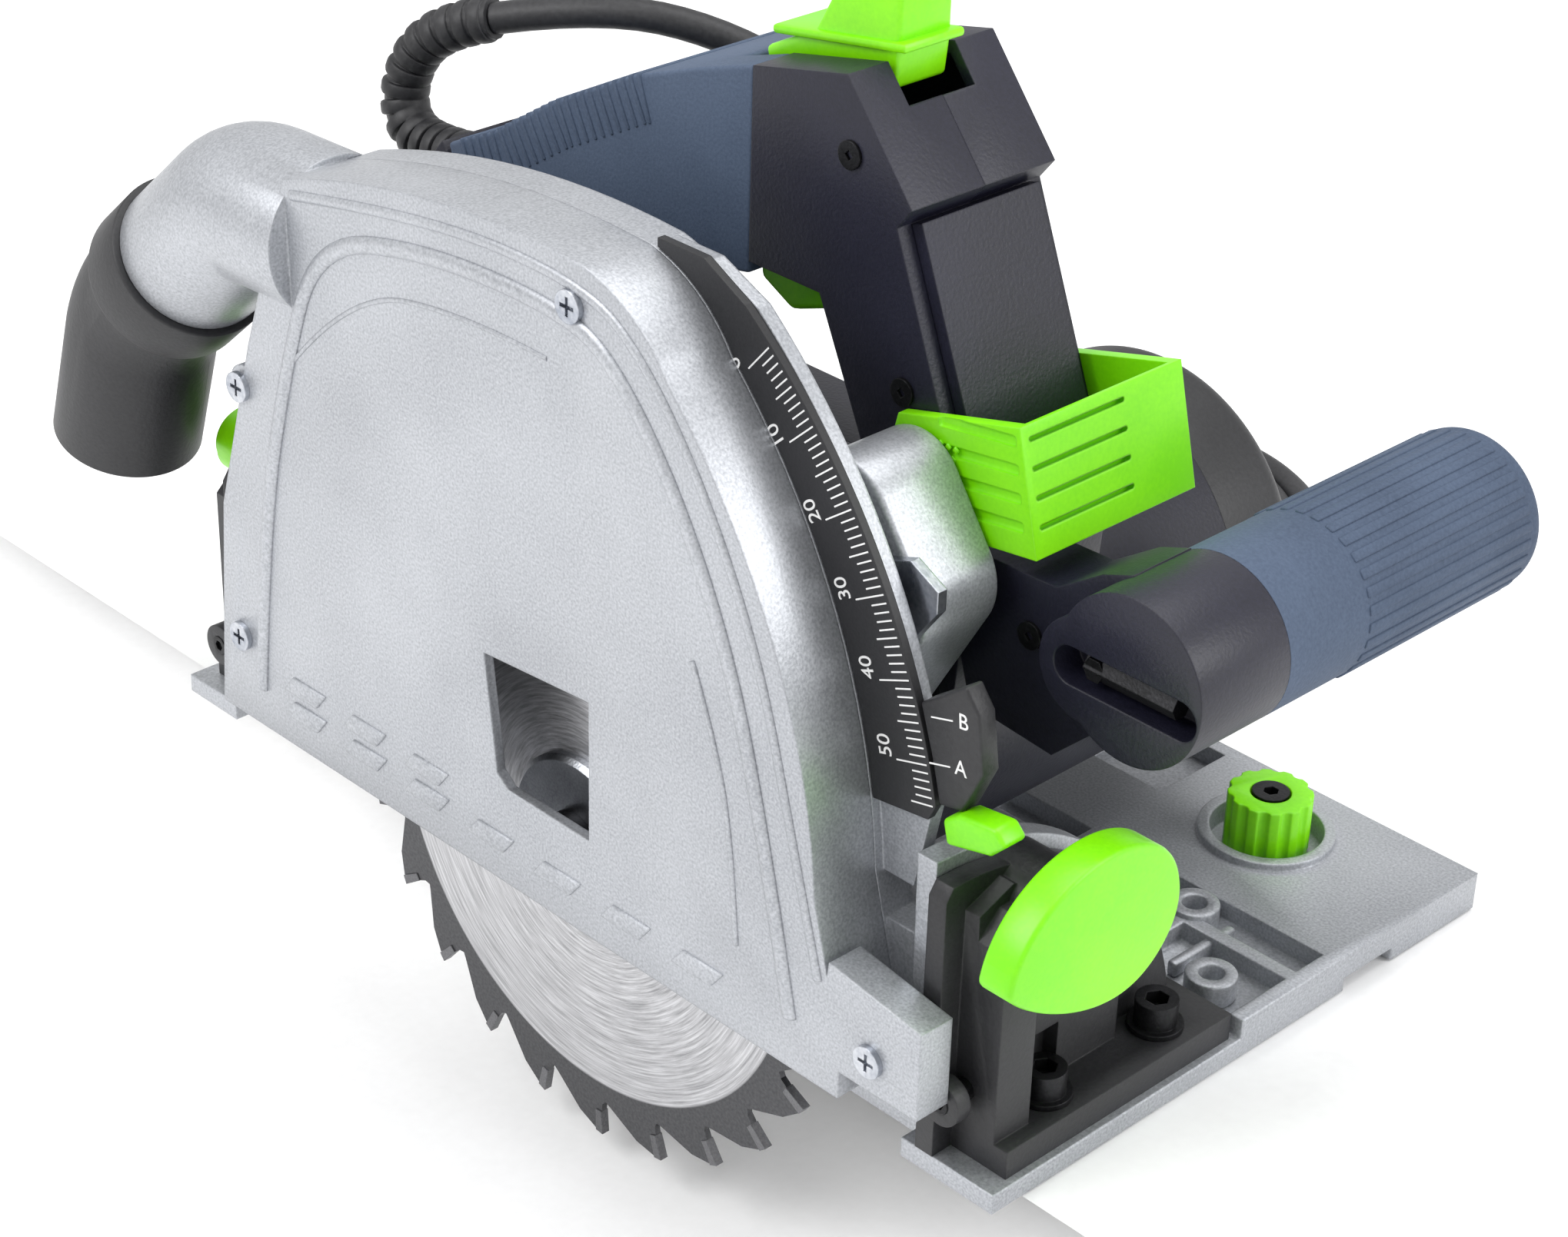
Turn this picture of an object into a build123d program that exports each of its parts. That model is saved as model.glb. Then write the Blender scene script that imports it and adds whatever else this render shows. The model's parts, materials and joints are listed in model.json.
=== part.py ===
from build123d import *
import math
import os

os.makedirs("parts", exist_ok=True)

# Plunge-cut track saw. Millimetres. +X is the cutting direction, -Y the blade side, +Z up.
# The origin lies on the sole plane, in the blade's plane, under the arbor at full depth.

# Blade and cut
blade_diameter = 165
blade_kerf = 2.2
blade_plate = 1.6
tooth_count = 24
cut_depth = 55
blade_radius = blade_diameter / 2
arbor_z = blade_radius - cut_depth

# Plunge hinge, in the blade's side view
pivot_x = -98
pivot_z = 46
retract_gap = 0.7
arm_length = math.hypot(pivot_x, arbor_z - pivot_z)
rest_angle = math.degrees(math.atan2(arbor_z - pivot_z, -pivot_x))
top_angle = math.degrees(math.asin((blade_radius + retract_gap - pivot_z) / arm_length))
print("plunge travel in degrees", round(top_angle - rest_angle, 2))

# Blade cover
cover_front = blade_radius + 16.5
cover_rear = -blade_radius - 38.5
cover_top = 2 * blade_radius + 17
cover_face_y = -16
cover_back_y = 2
cover_bottom = 17
nose_y = -6.6
cover_wall = 2.6
guard_back_y = 11.5
guard_wall = 2.5
body_gap = 0.4
screw_radius = 2.0
cover_screw_spots = [(14, 172), (-106, 110), (-111, 40)]
nose_screw_spot = (108, 32)

# Depth scale and stop
scale_centre = (-50, 50)
scale_radius = blade_radius + 77.5
scale_y = 4.3
scale_thickness = 2.0

# Dust outlet
neck_end = (-142, 128)
elbow_corner = (-165, 107.8)
outlet_end = (-178, 67)
duct_y = -2
neck_radius = 19.5
sleeve_radius = 21.2
outlet_radius = 19
duct_wall = 2.2

# Base plate
base_front = 134
base_rear = -154
base_near = 4
base_far = 167
base_floor = 5
base_deck = 10
groove_near = 116
groove_far = 134
groove_depth = 3.5
housing_well = 36
rail_knob_y = 142.5
rail_knob_x = (88.5, -100)
rail_knob_radius = 10.5
rail_pocket_radius = 14

# Bevel guides
segment_x = 105
segment_thickness = 5.5
segment_radius = 76
stud_ring = 66
stud_angle = 72
bevel_travel = 45
slot_half = 3.5
stud_radius = 3
bracket_front_x = 128
rear_segment_x = -128
foot_bolt_y = (23, 60)

# Motor unit
motor_x = 28
motor_z = arbor_z + 38.5
motor_radius = 46
stator_radius = motor_radius - 8
housing_near = 13
housing_far = 36
plate_far = 42
motor_tube_end = 140
motor_end = 166
spindle_module = 1.25
spindle_teeth = 34
layshaft_pinion_teeth = 15
motor_module = 1.0
wheel_teeth = 30
armature_teeth = 12
running_clearance = 0.05

# Handle
handle_near = 40
handle_split = 62
handle_far = 84
sleeve_skin = 3
front_grip_x = 131
front_grip_z = 116
front_grip_radius = 19
front_core_radius = 15
egg_near = 30
egg_far = 58
front_grip_far = 147
key_x = 120
key_z = 113
key_flat = 5

# Mains lead
cord_radius = 4
cord_points = [
    (-119.0, 74.0, 177.0),
    (-95.0, 87.0, 184.0),
    (-70.0, 105.0, 180.0),
    (-50.0, 126.0, 163.0),
    (-37.0, 146.0, 136.0),
    (-29.0, 163.0, 101.0),
    (-23.0, 178.0, 66.0),
    (-10.0, 194.0, 37.0),
    (5.0, 212.0, 19.0),
    (14.0, 237.0, 12.0),
]
coil_centre = (-48, 236)
coil_outer = 66
coil_inner = 30
coil_height = 16


def side(y):
    """Side-view plane at y: local x is X, local y is Z, and a positive extrusion goes to -Y."""
    return Plane.XZ.offset(-y)


def ray(radius, degrees, centre=(0, 0)):
    """Point at a radius and an angle from a centre."""
    turn = math.radians(degrees)
    return (centre[0] + radius * math.cos(turn), centre[1] + radius * math.sin(turn))


def link_face(*rounds):
    """Chain of circles, each joined to the next by its outer tangents."""
    with BuildSketch() as face:
        for centre, radius in rounds:
            with Locations(centre):
                Circle(radius)
        for (start, near), (end, far) in zip(rounds, rounds[1:]):
            length = math.hypot(end[0] - start[0], end[1] - start[1])
            heading = math.degrees(math.atan2(end[1] - start[1], end[0] - start[0]))
            spread = math.degrees(math.acos((near - far) / length))
            with BuildLine():
                Polyline(
                    ray(near, heading + spread, start),
                    ray(far, heading + spread, end),
                    ray(far, heading - spread, end),
                    ray(near, heading - spread, start),
                    close=True,
                )
            make_face()
    return face.sketch


def cover_face(grow=0.0):
    """Side outline of the blade cover, grown or shrunk by a margin."""
    shoulder = (cover_rear + 36, cover_top - 13)
    crown = (18, cover_top)
    brow = (crown[0] + 25, 2 * blade_radius)
    nose = (blade_radius + 7.5, 63)
    with BuildSketch() as face:
        with BuildLine():
            Polyline((cover_rear, cover_bottom), (cover_rear + 5, 75), (cover_rear + 19, 122), shoulder)
            ThreePointArc(shoulder, (-34, cover_top - 1.5), crown)
            ThreePointArc(crown, (33, cover_top - 6.5), brow)
            ThreePointArc(brow, (blade_radius - 6, blade_radius + 34), nose)
            Polyline(nose, (cover_front, 30), (cover_front, cover_bottom), (cover_rear, cover_bottom))
        make_face()
        if grow:
            offset(amount=grow)
    return face.sketch


def gear_face(teeth, module, phase, backlash=0.2, pressure=25, addendum=0.8, dedendum=1.1):
    """Involute spur gear outline with a tooth centred on the phase angle."""
    pitch = teeth * module / 2
    base = pitch * math.cos(math.radians(pressure))
    tip = pitch + addendum * module
    root = pitch - dedendum * module
    involute = math.tan(math.radians(pressure)) - math.radians(pressure)
    flank = []
    for step in range(5):
        radius = max(root, base) + (tip - max(root, base)) * step / 4
        roll = math.acos(min(1, base / radius))
        half = math.pi / (2 * teeth) - backlash / (2 * pitch) + involute - (math.tan(roll) - roll)
        flank.append((radius, math.degrees(half)))
    if root < base:
        flank.insert(0, (root, flank[0][1]))
    points = []
    for tooth in range(teeth):
        middle = phase + 360 * tooth / teeth
        points += [ray(radius, middle - half) for radius, half in flank]
        points += [ray(radius, middle + half) for radius, half in reversed(flank)]
    with BuildSketch() as face:
        with BuildLine():
            Polyline(*points, close=True)
        make_face()
    return face.sketch


# Saw blade: plate with gullets, and one brazed tip per tooth
tip_angle = 214.5
tooth_pitch = 360 / tooth_count
gullet_radius = blade_radius - 10
tip_root = blade_radius - 6.5
blade_points = []
for tooth in range(tooth_count):
    middle = tip_angle + tooth * tooth_pitch
    blade_points += [
        ray(blade_radius - 3.0, middle - 6.0),
        ray(blade_radius - 0.5, middle - 1.7),
        ray(tip_root, middle - 1.5),
        ray(tip_root, middle),
        ray(gullet_radius + 1.2, middle + 0.3),
        ray(gullet_radius, middle + 1.2),
        ray(gullet_radius + 0.8, middle + 2.4),
    ]
with BuildPart() as saw_blade:
    with BuildSketch(side(blade_plate / 2)):
        with Locations((0, arbor_z)):
            with BuildSketch(mode=Mode.PRIVATE) as blade_outline:
                with BuildLine():
                    Polyline(*blade_points, close=True)
                make_face()
            add(blade_outline.sketch)
            Circle(10 + running_clearance, mode=Mode.SUBTRACT)
    extrude(amount=blade_plate)
saw_blade.part.label = "saw_blade"
export_step(saw_blade.part, "parts/saw_blade.step")

with BuildPart() as carbide_tips:
    for tooth in range(tooth_count):
        middle = tip_angle + tooth * tooth_pitch
        with BuildSketch(Plane((0, blade_kerf / 2, arbor_z), x_dir=(1, 0, 0), z_dir=(0, -1, 0))):
            with BuildLine():
                Polyline(
                    ray(tip_root + 0.02, middle - 1.45),
                    ray(blade_radius - 0.4, middle - 1.65),
                    ray(blade_radius, middle),
                    ray(tip_root + 0.02, middle),
                    close=True,
                )
            make_face()
        extrude(amount=blade_kerf)
carbide_tips.part.label = "carbide_tips"
export_step(carbide_tips.part, "parts/carbide_tips.step")

# Spindle, its flanges and the arbor bolt
spindle_axis = Plane((0, 0, arbor_z), x_dir=(1, 0, 0), z_dir=(0, -1, 0))
spindle_front_bearing = 14
spindle_rear_bearing = 11
flange_radius = 22
with BuildPart() as spindle:
    with BuildSketch(spindle_axis.offset(-plate_far)):
        Circle(4)
    extrude(amount=plate_far - 30)
    with BuildSketch(spindle_axis.offset(-30)):
        Circle(6)
    extrude(amount=30 - blade_plate / 2)
    with BuildSketch(spindle_axis.offset(-5.1)):
        Circle(flange_radius)
    extrude(amount=5.1 - blade_plate / 2)
    with BuildSketch(spindle_axis.offset(-blade_plate / 2)):
        Circle(10)
    extrude(amount=blade_plate - 0.3)
    with BuildSketch(spindle_axis.offset(blade_plate / 2 - 0.3)):
        Circle(3.3)
    extrude(amount=-16, mode=Mode.SUBTRACT)
spindle.part.label = "spindle"
export_step(spindle.part, "parts/spindle.step")

with BuildPart() as outer_flange:
    with BuildSketch(spindle_axis.offset(blade_plate / 2)):
        Circle(flange_radius)
        Circle(4.2, mode=Mode.SUBTRACT)
    extrude(amount=3)
    chamfer(outer_flange.faces().sort_by(Axis.Y)[0].outer_wire().edges(), 1.2)
outer_flange.part.label = "outer_flange"
export_step(outer_flange.part, "parts/outer_flange.step")

with BuildPart() as arbor_bolt:
    with BuildSketch(spindle_axis.offset(blade_plate / 2 + 3)):
        Circle(8.5)
    extrude(amount=5)
    chamfer(arbor_bolt.faces().sort_by(Axis.Y)[0].outer_wire().edges(), 1)
    with BuildSketch(spindle_axis.offset(blade_plate / 2 + 3)):
        Circle(3.3)
    extrude(amount=-16.5)
    with BuildSketch(spindle_axis.offset(blade_plate / 2 + 8)):
        RegularPolygon(key_flat / 2, 6, major_radius=False)
    extrude(amount=-4, mode=Mode.SUBTRACT)
arbor_bolt.part.label = "arbor_bolt"
export_step(arbor_bolt.part, "parts/arbor_bolt.step")

# Gear train: armature pinion to layshaft wheel, layshaft pinion to the spindle gear
low_centres = spindle_module * (spindle_teeth + layshaft_pinion_teeth) / 2
high_centres = motor_module * (wheel_teeth + armature_teeth) / 2
line_length = math.hypot(motor_x, motor_z - arbor_z)
line_angle = math.degrees(math.atan2(motor_z - arbor_z, motor_x))
corner_angle = math.degrees(
    math.acos((low_centres**2 + line_length**2 - high_centres**2) / (2 * low_centres * line_length))
)
low_angle = line_angle - corner_angle
layshaft_x, layshaft_z = ray(low_centres, low_angle, (0, arbor_z))
high_angle = math.degrees(math.atan2(motor_z - layshaft_z, motor_x - layshaft_x))
layshaft_axis = Plane((layshaft_x, 0, layshaft_z), x_dir=(1, 0, 0), z_dir=(0, -1, 0))
motor_axis = Plane((motor_x, 0, motor_z), x_dir=(1, 0, 0), z_dir=(0, -1, 0))
print("layshaft at", round(layshaft_x, 3), round(layshaft_z, 3))

with BuildPart() as driven_gear:
    with BuildSketch(spindle_axis.offset(-28)):
        add(gear_face(spindle_teeth, spindle_module, low_angle))
        Circle(6, mode=Mode.SUBTRACT)
    extrude(amount=7)
driven_gear.part.label = "driven_gear"
export_step(driven_gear.part, "parts/driven_gear.step")

with BuildPart() as layshaft:
    with BuildSketch(layshaft_axis.offset(-plate_far)):
        Circle(3)
    extrude(amount=plate_far - 14.3)
    with BuildSketch(layshaft_axis.offset(-28.7)):
        add(gear_face(layshaft_pinion_teeth, spindle_module, low_angle + 180 + 180 / layshaft_pinion_teeth))
    extrude(amount=8.5)
    with BuildSketch(layshaft_axis.offset(-34.5)):
        add(gear_face(wheel_teeth, motor_module, high_angle))
    extrude(amount=5.8)
layshaft.part.label = "layshaft"
export_step(layshaft.part, "parts/layshaft.step")

with BuildPart() as armature:
    with BuildSketch(motor_axis.offset(-155)):
        Circle(4)
    extrude(amount=155 - 35.5)
    with BuildSketch(motor_axis.offset(-35.5)):
        add(gear_face(armature_teeth, motor_module, high_angle + 180 + 180 / armature_teeth))
    extrude(amount=6.8)
    with BuildSketch(motor_axis.offset(-110)):
        Circle(22)
    extrude(amount=48)
    with BuildSketch(motor_axis.offset(-134)):
        Circle(12.5)
    extrude(amount=16)
armature.part.label = "armature"
export_step(armature.part, "parts/armature.step")

with BuildPart() as cooling_fan:
    with BuildSketch(motor_axis.offset(-50)):
        Circle(motor_radius - 10)
        Circle(4, mode=Mode.SUBTRACT)
    extrude(amount=2)
    with BuildSketch(motor_axis.offset(-56)):
        Circle(9)
        Circle(4, mode=Mode.SUBTRACT)
        with PolarLocations(motor_radius / 2 - 1, 12):
            Rectangle(motor_radius - 22, 1.6)
    extrude(amount=6)
cooling_fan.part.label = "cooling_fan"
export_step(cooling_fan.part, "parts/cooling_fan.step")

with BuildPart() as stator:
    with BuildSketch(motor_axis.offset(-108)):
        Circle(stator_radius)
        Circle(22.8, mode=Mode.SUBTRACT)
    extrude(amount=46)
stator.part.label = "stator"
export_step(stator.part, "parts/stator.step")

with BuildPart() as motor_bearings:
    for far in (plate_far, 153):
        with BuildSketch(motor_axis.offset(-far)):
            Circle(11)
            Circle(4 + running_clearance, mode=Mode.SUBTRACT)
        extrude(amount=6)
motor_bearings.part.label = "motor_bearings"
export_step(motor_bearings.part, "parts/motor_bearings.step")

with BuildPart() as gear_bearings:
    with BuildSketch(spindle_axis.offset(-plate_far)):
        Circle(spindle_rear_bearing)
        Circle(4 + running_clearance, mode=Mode.SUBTRACT)
    extrude(amount=6)
    with BuildSketch(spindle_axis.offset(-spindle_front_bearing)):
        Circle(14)
        Circle(6 + running_clearance, mode=Mode.SUBTRACT)
    extrude(amount=7.5)
    for far in (plate_far, 19):
        with BuildSketch(layshaft_axis.offset(-far)):
            Circle(7.5)
            Circle(3 + running_clearance, mode=Mode.SUBTRACT)
        extrude(amount=5)
gear_bearings.part.label = "gear_bearings"
export_step(gear_bearings.part, "parts/gear_bearings.step")

# Gear housing: casting round the gears, with the arm to the plunge hinge and the neck for the spindle
pivot_pin_radius = 5
pivot_bush_radius = 8
pivot_boss_radius = 14
gear_room = spindle_module * spindle_teeth / 2 + 2
housing_radius = gear_room + 2.6
neck_outer = 16.6
wheel_room = motor_module * wheel_teeth / 2 + 1.8
arbor_place = (0, arbor_z)
layshaft_place = (layshaft_x, layshaft_z)
motor_place = (motor_x, motor_z)
pivot_place = (pivot_x, pivot_z)
lobe_low = (76, 118)
lobe_high = (66, 134)
with BuildPart() as gear_housing:
    with BuildSketch(side(housing_far)):
        add(link_face((arbor_place, housing_radius), (motor_place, 30), (lobe_low, 14), (lobe_high, 13)))
        add(link_face((pivot_place, pivot_boss_radius), ((0, arbor_z + 24), 20)))
    extrude(amount=housing_far - housing_near)
    with BuildSketch(spindle_axis.offset(-housing_near - 1)):
        Circle(neck_outer)
    extrude(amount=housing_near - 4.5)
    with BuildSketch(side(housing_far)):
        add(link_face((arbor_place, gear_room), (layshaft_place, wheel_room), (motor_place, 9)))
    extrude(amount=housing_far - 19, mode=Mode.SUBTRACT)
    with BuildSketch(spindle_axis.offset(-19)):
        Circle(9)
    extrude(amount=20, mode=Mode.SUBTRACT)
    with BuildSketch(spindle_axis.offset(-spindle_front_bearing)):
        Circle(14)
    extrude(amount=12, mode=Mode.SUBTRACT)
    with BuildSketch(layshaft_axis.offset(-19)):
        Circle(7.5)
    extrude(amount=5, mode=Mode.SUBTRACT)
    with BuildSketch(side(housing_far)):
        with Locations(pivot_place):
            Circle(pivot_bush_radius)
    extrude(amount=housing_far - housing_near, mode=Mode.SUBTRACT)
gear_housing.part.label = "gear_housing"
export_step(gear_housing.part, "parts/gear_housing.step")

with BuildPart() as bearing_plate:
    with BuildSketch(side(plate_far)):
        add(link_face((arbor_place, housing_radius - 4), (motor_place, motor_radius - 8)))
        with Locations(arbor_place):
            Circle(spindle_rear_bearing, mode=Mode.SUBTRACT)
        with Locations(layshaft_place):
            Circle(7.5, mode=Mode.SUBTRACT)
        with Locations(motor_place):
            Circle(11, mode=Mode.SUBTRACT)
    extrude(amount=plate_far - housing_far)
bearing_plate.part.label = "bearing_plate"
export_step(bearing_plate.part, "parts/bearing_plate.step")

with BuildPart() as pivot_bush:
    with BuildSketch(side(housing_far)):
        with Locations(pivot_place):
            Circle(pivot_bush_radius)
            Circle(pivot_pin_radius + running_clearance, mode=Mode.SUBTRACT)
    extrude(amount=housing_far - housing_near)
pivot_bush.part.label = "pivot_bush"
export_step(pivot_bush.part, "parts/pivot_bush.step")

with BuildPart() as stop_plate:
    with BuildSketch(side(housing_near)):
        with BuildLine():
            Polyline((80, 113), (80, 130), (88, 133), (96, 129), (96, 124), (88, 113), close=True)
        make_face()
    extrude(amount=2.6)
stop_plate.part.label = "stop_plate"
export_step(stop_plate.part, "parts/stop_plate.step")

# Motor housing, its end cap and the brushes
brush_y = 126
with BuildPart() as motor_housing:
    with BuildSketch(motor_axis.offset(-motor_tube_end)):
        Circle(motor_radius)
        Circle(motor_radius - 3, mode=Mode.SUBTRACT)
    extrude(amount=motor_tube_end - plate_far)
    for near in (60, 110):
        with BuildSketch(motor_axis.offset(-near)):
            Circle(motor_radius - 3)
            Circle(stator_radius + 0.3, mode=Mode.SUBTRACT)
        extrude(amount=-2)
    with Locations(Plane((motor_x, brush_y, motor_z), x_dir=(0, 1, 0), z_dir=(1, 0, 0))):
        Cylinder(6, 2 * motor_radius + 10, mode=Mode.SUBTRACT)
motor_housing.part.label = "motor_housing"
export_step(motor_housing.part, "parts/motor_housing.step")

with BuildPart() as motor_end_cap:
    with BuildSketch(motor_axis.offset(-motor_end)):
        Circle(motor_radius)
    extrude(amount=motor_end - motor_tube_end)
    fillet(motor_end_cap.faces().sort_by(Axis.Y)[-1].edges(), 8)
    with BuildSketch(motor_axis.offset(-motor_end + 4)):
        Circle(motor_radius - 3)
        Circle(14.5, mode=Mode.SUBTRACT)
    extrude(amount=motor_end, mode=Mode.SUBTRACT)
    with BuildSketch(motor_axis.offset(-motor_end + 5)):
        Circle(8)
    extrude(amount=motor_end, mode=Mode.SUBTRACT)
    with BuildSketch(motor_axis.offset(-153)):
        Circle(11)
    extrude(amount=motor_end, mode=Mode.SUBTRACT)
    with BuildSketch(motor_axis.offset(-motor_end)):
        for row in (-18, -9, 0, 9, 18):
            with Locations((0, row)):
                SlotOverall(44, 3.5)
    extrude(amount=4.5, mode=Mode.SUBTRACT)
motor_end_cap.part.label = "motor_end_cap"
export_step(motor_end_cap.part, "parts/motor_end_cap.step")

with BuildPart() as carbon_brushes:
    for sign in (-1, 1):
        with Locations((motor_x + sign * motor_radius / 2, brush_y, motor_z)):
            Box(motor_radius - 26, 6, 6)
carbon_brushes.part.label = "carbon_brushes"
export_step(carbon_brushes.part, "parts/carbon_brushes.step")

with BuildPart() as brush_caps:
    for sign in (-1, 1):
        start = Plane((motor_x + sign * (motor_radius - 10), brush_y, motor_z), x_dir=(0, 1, 0), z_dir=(sign, 0, 0))
        with BuildSketch(start):
            Circle(6)
        extrude(amount=11)
        with BuildSketch(start.offset(11)):
            Rectangle(9, 1.5)
        extrude(amount=-1.2, mode=Mode.SUBTRACT)
brush_caps.part.label = "brush_caps"
export_step(brush_caps.part, "parts/brush_caps.step")

# Handle shells: grip core, head, pillar and the arm to the front handle
grip_top = [(-96, 160), (-79, 168), (-57, 182), (-30, 196), (-8, 204), (8, 209)]
grip_low = [(8, 161), (-8, 158), (-29, 154), (-45, 149), (-64, 137), (-80, 122)]
head_top = (36, 215)
loop_floor = motor_z + motor_radius + 5


def lowered(points, amount):
    """The same points moved down by an amount."""
    return [(x, z - amount) for x, z in points]


def handle_face():
    """Side outline of the handle shells, with the finger loop cut out."""
    with BuildSketch() as face:
        with BuildLine():
            Polyline(
                *lowered(grip_top, sleeve_skin),
                (8, 209),
                head_top,
                (56, 191),
                (52, 186),
                (72, 136),
                (78, 118),
                (74, 70),
                (motor_x, motor_z),
                (-16, 70),
                (-62, 96),
                (-100, 128),
                (-110, 146),
                (-98, 160),
                close=True,
            )
        make_face()
        with BuildLine():
            Polyline(
                *lowered(grip_low, -sleeve_skin),
                (-70, 124),
                (-40, loop_floor),
                (42, loop_floor),
                (47, 128),
                (30, 164),
                (8, 164),
                close=True,
            )
        make_face(mode=Mode.SUBTRACT)
        with Locations((motor_x, motor_z)):
            Circle(motor_radius + body_gap, mode=Mode.SUBTRACT)
    return face.sketch


def grip_side_face():
    """Area of the side walls that the soft grip covers."""
    with BuildSketch() as face:
        with BuildLine():
            Polyline(*lowered(grip_top, -2), *lowered(grip_low, 2), close=True)
        make_face()
    return face.sketch


def handle_half(near, far):
    """One handle shell between two side planes, hollow towards the split."""
    outer = near if near < handle_split - 1 else far
    with BuildPart() as half:
        with BuildSketch(side(far)):
            add(handle_face())
        extrude(amount=far - near)
        with BuildSketch(side(far if outer == near else far - 3)):
            offset(handle_face(), amount=-3, kind=Kind.INTERSECTION)
        extrude(amount=far - near - 3, mode=Mode.SUBTRACT)
        with BuildSketch(side(near + sleeve_skin if outer == near else far)):
            add(grip_side_face())
        extrude(amount=sleeve_skin, mode=Mode.SUBTRACT)
    return half.part


head_slot = [(-5, 200), (-9, 212), (30, 232), (42.5, 230), (42.5, 205)]
trigger_slot = [(-10, 176), (24, 176), (24, 150), (-10, 150)]
boot_slot = [(-114, 138), (-114, 158), (-98, 156), (-96, 140)]

with BuildPart() as handle_left:
    add(handle_half(handle_near, handle_split))
    with BuildSketch(side(egg_far)):
        with BuildLine():
            Polyline((68, 121), (102, 122), (114, 130), (122, 133), (122, 99), (104, 82), (80, 84), close=True)
        make_face()
        with Locations((front_grip_x, front_grip_z)):
            Circle(front_grip_radius)
    extrude(amount=egg_far - handle_near)
    with BuildSketch(side(handle_near)):
        with Locations((front_grip_x, front_grip_z)):
            Circle(front_grip_radius)
        with Locations((key_x - 1, key_z)):
            Circle(12)
    extrude(amount=handle_near - egg_near)
    with BuildSketch(side(egg_near + 8)):
        with Locations((key_x + 10, key_z)):
            SlotOverall(38, 9)
    extrude(amount=9, mode=Mode.SUBTRACT)
    with BuildSketch(side(egg_far)):
        with Locations((key_x, key_z)):
            Circle(3.4)
    extrude(amount=22, mode=Mode.SUBTRACT)
    for slot, reach in ((head_slot, 10), (trigger_slot, 9), (boot_slot, 9)):
        with BuildSketch(side(handle_split)):
            with BuildLine():
                Polyline(*slot, close=True)
            make_face()
        extrude(amount=reach, mode=Mode.SUBTRACT)
handle_left.part.label = "handle_left"
export_step(handle_left.part, "parts/handle_left.step")

with BuildPart() as handle_right:
    add(handle_half(handle_split, handle_far))
    for slot, reach in ((head_slot, 10), (trigger_slot, 9), (boot_slot, 9)):
        with BuildSketch(side(handle_split + reach)):
            with BuildLine():
                Polyline(*slot, close=True)
            make_face()
        extrude(amount=reach, mode=Mode.SUBTRACT)
handle_right.part.label = "handle_right"
export_step(handle_right.part, "parts/handle_right.step")

with BuildPart() as rear_grip_sleeve:
    with BuildSketch(side(handle_far)):
        with BuildLine():
            Polyline(*grip_top, *grip_low, close=True)
        make_face()
    extrude(amount=handle_far - handle_near)
    with BuildSketch(side(handle_far - sleeve_skin)):
        with BuildLine():
            Polyline(
                (grip_top[0][0] - 9, grip_top[0][1] - 8),
                *lowered(grip_top, sleeve_skin),
                (12, 206),
                (12, 164),
                *lowered(grip_low, -sleeve_skin),
                (grip_low[-1][0] - 8, grip_low[-1][1] - 1),
                close=True,
            )
        make_face()
    extrude(amount=handle_far - handle_near - 2 * sleeve_skin, mode=Mode.SUBTRACT)
    for slot, reach in ((head_slot, 10), (trigger_slot, 9)):
        with BuildSketch(side(handle_split + reach)):
            with BuildLine():
                Polyline(*slot, close=True)
            make_face()
        extrude(amount=2 * reach, mode=Mode.SUBTRACT)
rear_grip_sleeve.part.label = "rear_grip_sleeve"
export_step(rear_grip_sleeve.part, "parts/rear_grip_sleeve.step")

front_grip_place = (front_grip_x, front_grip_z)
with BuildPart() as front_handle_core:
    with BuildSketch(side(front_grip_far - 3)):
        with Locations(front_grip_place):
            Circle(front_core_radius)
    extrude(amount=front_grip_far - 3 - egg_far)
    with BuildSketch(side(front_grip_far - 3)):
        with Locations((key_x, key_z)):
            Circle(3.4)
        with Locations((front_grip_x + 2, front_grip_z)):
            Circle(6)
    extrude(amount=front_grip_far, mode=Mode.SUBTRACT)
front_handle_core.part.label = "front_handle_core"
export_step(front_handle_core.part, "parts/front_handle_core.step")

with BuildPart() as front_grip_sleeve:
    with BuildSketch(side(front_grip_far)):
        with Locations(front_grip_place):
            Circle(front_grip_radius)
    extrude(amount=front_grip_far - egg_far)
    fillet(front_grip_sleeve.faces().sort_by(Axis.Y)[-1].edges(), 4)
    with BuildSketch(side(front_grip_far - 3)):
        with Locations(front_grip_place):
            Circle(front_core_radius)
    extrude(amount=front_grip_far, mode=Mode.SUBTRACT)
front_grip_sleeve.part.label = "front_grip_sleeve"
export_step(front_grip_sleeve.part, "parts/front_grip_sleeve.step")

with BuildPart() as pillar_cover:
    with BuildSketch(side(handle_far - 4)):
        with BuildLine():
            Polyline((52.3, 186), (55.3, 187), (75, 137.6), (72.3, 136), close=True)
        make_face()
    extrude(amount=handle_far - handle_near - 8)
pillar_cover.part.label = "pillar_cover"
export_step(pillar_cover.part, "parts/pillar_cover.step")

with BuildPart() as handle_screws:
    for place in ((38, 198), (56, 150), (-90, 141), (96, 108)):
        with BuildSketch(side(handle_near)):
            with Locations(place):
                Circle(3.2)
                RegularPolygon(1.2, 4, mode=Mode.SUBTRACT)
        extrude(amount=0.8)
handle_screws.part.label = "handle_screws"
export_step(handle_screws.part, "parts/handle_screws.step")

# Switch, trigger, release button, change lever and stored key
with BuildPart() as switch_body:
    with Locations((22, handle_split, 184)):
        Box(20, 14, 14)
switch_body.part.label = "switch_body"
export_step(switch_body.part, "parts/switch_body.step")

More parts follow.
